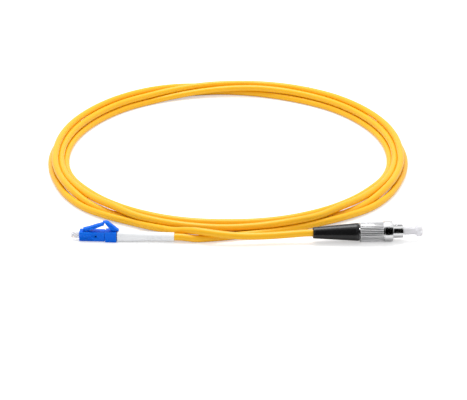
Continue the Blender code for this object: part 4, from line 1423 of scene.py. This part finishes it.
@dataclass
class FcPlug:
    """The threaded metal plug: knurled nut, keyed frame, ferrule, boot and dust cap."""

    spin_axis: Pair = (30.0, 0.0)  # the nut's hinge, along the plug and over its axis
    boot_end: float = 21.6  # the boot's front face
    boot_radii: Pair = (2.65, 4.25)  # at its tail and at its front
    boot_cavity: Pair = (9.5, 2.6)  # start and radius of the hollow in the boot
    cord_bore: float = 2.0  # radius of the boot's hole for the cord
    nut: Pair = (21.9, 37.4)  # back and front face of the nut
    nut_wall: float = 1.5  # thickness of its back wall
    nut_bore: float = 3.75  # its bore
    stem_bore: float = 3.1  # the hole in its back wall
    knurl_end: float = 32.9  # end of the knurl
    knurl_radius: float = 4.8  # over the ridges
    knurl_depth: float = 0.25  # height of the ridges
    ridges: int = 36  # their number
    ridge_share: float = 0.92  # share of its pitch that a ridge fills
    collar_radius: float = 4.9  # the smooth collar
    thread: tuple[float, float, float] = (32.4, 4.4, 0.14)  # start, length and depth
    thread_turns: float = 6.0  # its turns
    frame: Pair = (27.5, 42.4)  # start and front face of the plug frame
    frame_radius: float = 3.25  # its outside
    frame_cavity: float = 2.2  # its bore
    wall: Pair = (34.3, 35.5)  # back and front of the wall in it
    wall_bore: float = 1.6  # hole in the wall
    spigot: Pair = (25.5, 2.45)  # start and radius of the spigot behind it
    key: tuple[float, float, float, float] = (36.5, 41.9, 2.0, 3.42)  # start, end, width, top
    ferrule: tuple[float, float, float] = (31.8, 46.5, 1.25)  # start, end and radius
    cap: tuple[float, float, float] = (38.0, 48.6, 51.4)  # start, flange's start and end
    cap_radii: Pair = (1.9, 2.9)  # its stem and its flange
    cap_wall: float = 1.0  # thickness of its end

    def nut_shell(self) -> Mesh:
        """The nut without its ridges: knurled drum, groove and collar.

        Returns:
            The mesh, in the plug's millimetres.
        """
        back, front = self.nut
        drum = self.knurl_radius - self.knurl_depth
        collar = self.collar_radius
        knurl = self.knurl_end
        return turned_mesh("fc_nut_shell", [
            (front, self.nut_bore + 0.25), (front, collar - 0.2), (front - 0.04, collar - 0.1),
            (front - 0.1, collar - 0.04), (front - 0.2, collar), (knurl + 0.62, collar),
            (knurl + 0.53, collar - 0.04), (knurl + 0.48, collar - 0.12), (knurl + 0.4, drum - 0.1),
            (knurl + 0.05, drum - 0.1), (knurl - 0.1, drum), (back + 0.3, drum),
            (back + 0.05, drum - 0.2), (back, drum - 0.4), (back, self.stem_bore),
            (back + self.nut_wall, self.stem_bore), (back + self.nut_wall, self.nut_bore),
            (front - 0.25, self.nut_bore)], 144)

    def ridge(self) -> Mesh:
        """One ridge of the knurl, up from the axis: a rounded roof with sloped ends.

        Returns:
            The mesh, in the plug's millimetres.
        """
        back = self.nut[0]
        high = self.knurl_radius
        low = high - self.knurl_depth - 0.15
        half = math.pi * high / self.ridges * self.ridge_share
        rows = ((back + 0.12, low + 0.1), (back + 0.35, high), (self.knurl_end - 0.25, high),
                (self.knurl_end, low + 0.1))
        roof = ((-1.0, 0.0), (-0.55, 0.62), (-0.2, 1.0), (0.2, 1.0), (0.55, 0.62), (1.0, 0.0))
        rings = np.array([[(along, half * side, low + (top - low) * rise) for side, rise in roof]
                          for along, top in rows])
        return ring_surface("fc_nut_ridges", rings, caps=True)

    def frame_shell(self) -> Mesh:
        """Plug frame with its wall and its spigot.

        Returns:
            The mesh, in the plug's millimetres.
        """
        start, end = self.frame
        radius = self.frame_radius
        inner = self.frame_cavity
        spigot_start, spigot_radius = self.spigot
        back, front = self.wall
        return turned_mesh("fc_frame_shell", [
            (end, inner + 0.15), (end, radius - 0.3), (end - 0.05, radius - 0.17),
            (end - 0.15, radius - 0.06), (end - 0.3, radius), (start, radius),
            (start, spigot_radius), (spigot_start, spigot_radius), (spigot_start, inner),
            (back, inner), (back, self.wall_bore), (front, self.wall_bore), (front, inner),
            (end - 0.15, inner)], 128)

    def frame_key(self) -> Mesh:
        """The key along the frame, sunk in its wall.

        Returns:
            The mesh, in the plug's millimetres.
        """
        start, end, width, top = self.key
        return block_mesh("fc_frame_key", (start, -width / 2, self.frame_radius - 0.5),
                          (end, width / 2, top), 0.12)

    def boot(self) -> Mesh:
        """Tapered rubber boot with a rounded rim at each end.

        Returns:
            The mesh, in the plug's millimetres.
        """
        tail, wide = self.boot_radii
        end = self.boot_end
        cavity_start, cavity_radius = self.boot_cavity
        return turned_mesh("fc_boot_cone", [
            (end, cavity_radius), (end, wide - 0.35), (end - 0.08, wide - 0.12),
            (end - 0.25, wide), (end - 1.6, wide - 0.08), (end * 0.5, (tail + wide) / 2),
            (1.0, tail + 0.07), (0.25, tail), (0.06, tail - 0.1), (0.0, tail - 0.25),
            (0.0, self.cord_bore + 0.15), (0.15, self.cord_bore), (cavity_start, self.cord_bore),
            (cavity_start, cavity_radius)])

    def dust_cap(self) -> Mesh:
        """Clear cap with a wide grip, closed at its front.

        Returns:
            The mesh, in the plug's millimetres.
        """
        start, flange, end = self.cap
        stem, wide = self.cap_radii
        bore = self.ferrule[2] + 0.2
        blind = end - self.cap_wall
        return turned_mesh("fc_cap_sleeve", [
            (end, wide - 0.5), (end - 0.08, wide - 0.2), (end - 0.3, wide), (flange + 0.2, wide),
            (flange, wide - 0.15), (flange, stem + 0.2), (flange - 0.2, stem),
            (start + 0.15, stem), (start, stem - 0.12), (start, bore), (blind, bore),
            (blind - 0.06, bore - 0.2)], caps=True)

    def ferrule_rod(self) -> Mesh:
        """Ceramic ferrule with its chamfer and polished, rounded end.

        Returns:
            The mesh, in the plug's millimetres.
        """
        start, end, radius = self.ferrule
        return turned_mesh("fc_ferrule_rod", [
            (end, radius * 0.3), (end - 0.04, radius * 0.55), (end - 0.1, radius - 0.4),
            (end - 0.5, radius), (start, radius)], 64, caps=True)

    def build(self, bench: Bench) -> None:
        """Makes every piece of the plug that shows, at the bench.

        Args:
            bench: finishes the pieces.
        """
        metal = bench.palette.materials[Slot.NICKEL]
        bench.finish(self.nut_shell(), Slot.NICKEL, Body.NUT, "fc_coupling_nut")
        knurl = ridges_round_axis().run(self.ridge(), metal, Ridges=self.ridges)
        ridges = bench.finish(knurl, Slot.NICKEL, Body.NUT, "fc_coupling_nut")
        ridges.data.materials[0] = bench.palette.knurl
        start, length, depth = self.thread
        thread = thread_round_axis().run(
            bpy.data.meshes.new("fc_nut_thread"), metal, Turns=self.thread_turns,
            Radius=self.nut_bore, Length=length, Start=start, Depth=depth)
        bench.finish(thread, Slot.NICKEL, Body.NUT, "fc_coupling_nut")
        bench.finish(self.frame_shell(), Slot.NICKEL, Body.SHELLS, "fc_plug_frame")
        bench.finish(self.frame_key(), Slot.NICKEL, Body.SHELLS, "fc_plug_frame")
        bench.finish(self.boot(), Slot.BLACK, Body.SHELLS, "fc_boot")
        bench.finish(self.dust_cap(), Slot.CAP, Body.FC_CAP, "fc_dust_cap")
        bench.finish(self.ferrule_rod(), Slot.ZIRCONIA, Body.FC_FERRULE, "fc_ferrule")


@dataclass
class Studio:
    """White floor, soft light from all round, a lamp overhead and a dark card in front.

    Places are from the ring's middle and sizes are in metres.
    """

    floor_size: float = 8.0  # side of the floor
    floor_colour: float = 0.8  # its reflectance
    floor_glow: float = 0.42  # what the camera sees added to it
    sky_strength: float = 0.8  # light from all round
    key_size: float = 0.6  # side of the overhead lamp
    key_place: tuple[float, float, float] = (-0.05, 0.3, 1.0)  # its place
    key_power: float = 7.5  # its power, in watts
    card_near: float = 0.1095  # where the dark card begins, in front of the middle
    card_far: float = 0.4425  # where it rises
    card_low: float = 0.0003  # its height over the floor
    card_height: float = 0.96  # how high it reaches
    card_width: float = 1.6  # its width

    @staticmethod
    def rays(tree: Nodes, *kinds: str) -> NodeSocket:
        """1 for the named kinds of ray, else 0.

        Args:
            tree: the material's or the world's tree.
            *kinds: the kinds, as the node names them.

        Returns:
            The number's socket.
        """
        path = tree.add("ShaderNodeLightPath")
        found = path.outputs[f"Is {kinds[0]} Ray"]
        for kind in kinds[1:]:
            found = tree.math("MAXIMUM", found, path.outputs[f"Is {kind} Ray"])
        return found

    @staticmethod
    def sheet(name: str, paint: str, corners: list[tuple[float, float, float]],
              faces: list[tuple[int, ...]], colour: float) -> tuple[Object, Nodes, Node]:
        """A matt sheet of the stage.

        Args:
            name: its name.
            paint: its material's name.
            corners: its corners.
            faces: corners of each face.
            colour: its reflectance.

        Returns:
            The sheet, its material's nodes and their shader.
        """
        mesh = bpy.data.meshes.new(name)
        mesh.from_pydata(corners, [], faces)
        material = bpy.data.materials.new(paint)
        material.use_nodes = True
        shader = material.node_tree.nodes["Principled BSDF"]
        shader.inputs["Base Color"].default_value = (colour, colour, colour, 1.0)
        shader.inputs["Specular IOR Level"].default_value = 0.0
        mesh.materials.append(material)
        return link(name, mesh), Nodes(material.node_tree), shader

    def world(self) -> None:
        """A white background whose light on the object has its own strength."""
        world = bpy.data.worlds.new("studio_white")
        world.use_nodes = True
        tree = Nodes(world.node_tree)
        seen = self.rays(tree, "Camera", "Glossy", "Transmission")
        background = world.node_tree.nodes["Background"]
        background.inputs["Color"].default_value = (1.0, 1.0, 1.0, 1.0)
        tree.feed(background.inputs["Strength"],
                  tree.math("MULTIPLY_ADD", seen, 1.0 - self.sky_strength, self.sky_strength))
        bpy.context.scene.world = world

    def floor(self) -> None:
        """A matt floor that reads white away from the object and keeps its shadow."""
        half = self.floor_size / 2
        floor, tree, shader = self.sheet(
            "studio_floor", "floor_white",
            [(-half, -half, 0.0), (half, -half, 0.0), (half, half, 0.0), (-half, half, 0.0)],
            [(0, 1, 2, 3)], self.floor_colour)
        shader.inputs["Roughness"].default_value = 1.0
        shader.inputs["Emission Color"].default_value = (1.0, 1.0, 1.0, 1.0)
        direct = self.rays(tree, "Camera", "Transmission")
        tree.feed(shader.inputs["Emission Strength"],
                  tree.math("MULTIPLY", direct, self.floor_glow))

    def lamp(self, middle: Vector) -> None:
        """The broad lamp overhead.

        Args:
            middle: middle of the ring on the floor, in metres.
        """
        light = bpy.data.lights.new("overhead_softbox", "AREA")
        light.size = self.key_size
        light.energy = self.key_power
        lamp = link("overhead_softbox", light)
        lamp.location = middle + Vector(self.key_place)
        away = lamp.location - middle
        lamp.rotation_euler = away.to_track_quat("Z", "Y").to_euler()

    def card(self, middle: Vector) -> None:
        """A dark card in front that only gloss sees, which gives the metal its dark band.

        Args:
            middle: middle of the ring on the floor, in metres.
        """
        half = self.card_width / 2
        near = middle.y - self.card_near
        far = middle.y - self.card_far
        low = self.card_low
        card, _, _ = self.sheet(
            "dark_card", "card_black",
            [(-half, near, low), (half, near, low), (half, far, low), (-half, far, low),
             (half, far, self.card_height), (-half, far, self.card_height)],
            [(0, 1, 2, 3), (3, 2, 4, 5)], 0.0)
        card.visible_camera = False
        card.visible_diffuse = False
        card.visible_shadow = False
        card.visible_transmission = False

    def build(self, middle: Vector) -> None:
        """Sets the stage round the ring's middle on the floor.

        Args:
            middle: middle of the ring on the floor, in metres.
        """
        bpy.context.scene.view_settings.view_transform = "Standard"
        self.world()
        self.floor()
        self.lamp(middle)
        self.card(middle)


@dataclass
class Viewpoint:
    """The camera, from the ring's middle."""

    distance: float = 0.9  # from the ring's middle, in metres
    elevation: float = 24.2  # above the floor, in degrees
    sideways: float = 0.002818  # to the right, in metres
    aim_below: float = 0.022464809  # how far below the middle it looks, as a slope
    lens: float = 134.1694  # focal length, in millimetres
    sensor: float = 36.0  # sensor width, in millimetres

    def build(self, middle: Vector) -> None:
        """Makes the scene's camera for a ring's middle on the floor.

        Args:
            middle: middle of the ring on the floor, in metres.
        """
        rise = math.radians(self.elevation)
        camera = bpy.data.cameras.new("studio_camera")
        camera.lens = self.lens
        camera.sensor_width = self.sensor
        obj = link("studio_camera", camera)
        obj.location = middle + Vector((self.sideways, -self.distance * math.cos(rise),
                                        self.distance * math.sin(rise)))
        pitch = rise + math.atan(self.aim_below)
        obj.rotation_euler = (math.pi / 2 - pitch, 0.0, 0.0)
        bpy.context.scene.camera = obj


def bench_at(palette: Palette, joints: dict[str, dict], pivot: str, slide: str,
             axis: Pair) -> Bench:
    """Sets up the bench for a plug, whose place two of its joints give.

    Args:
        palette: the materials.
        joints: the record's joints by name.
        pivot: a hinge of the plug.
        slide: a slide that runs along the plug.
        axis: the hinge's place along the plug and over its axis, in millimetres.

    Returns:
        The plug's bench.
    """
    forward = Vector(joints[slide]["axis"]).normalized()
    along, up = axis
    tail = Vector(joints[pivot]["pos_m"]) - forward * along * MM - Vector((0.0, 0.0, up * MM))
    return Bench(palette, tail, forward)


def main() -> None:
    """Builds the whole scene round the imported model."""
    logging.basicConfig(level=logging.INFO, format="%(message)s")
    for obj in list(bpy.data.objects):
        bpy.data.objects.remove(obj)
    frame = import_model()
    joints = {joint["name"]: joint for joint in frame["joints"]}
    palette = Palette()
    lc = LcPlug()
    fc = FcPlug()
    cord = PatchCord()
    lc_bench = bench_at(palette, joints, "lc_latch_hinge", "lc_cap_slide", lc.latch_axis)
    fc_bench = bench_at(palette, joints, "fc_nut_spin", "fc_cap_slide", fc.spin_axis)
    middle = Vector((lc_bench.tail.x - cord.lc.tail[0] * MM,
                     lc_bench.tail.y - cord.lc.tail[1] * MM, 0.0))
    Viewpoint().build(middle)
    Studio().build(middle)
    cord.build(palette, middle)
    lc.build(lc_bench)
    fc.build(fc_bench)
    for name, slot in KEPT_NODES.items():
        palette.paint(frame["nodes"][name], slot)
        LOG.info("%s: %s", name, slot.value)
    bpy.context.view_layer.update()


if __name__ == "__main__":
    main()
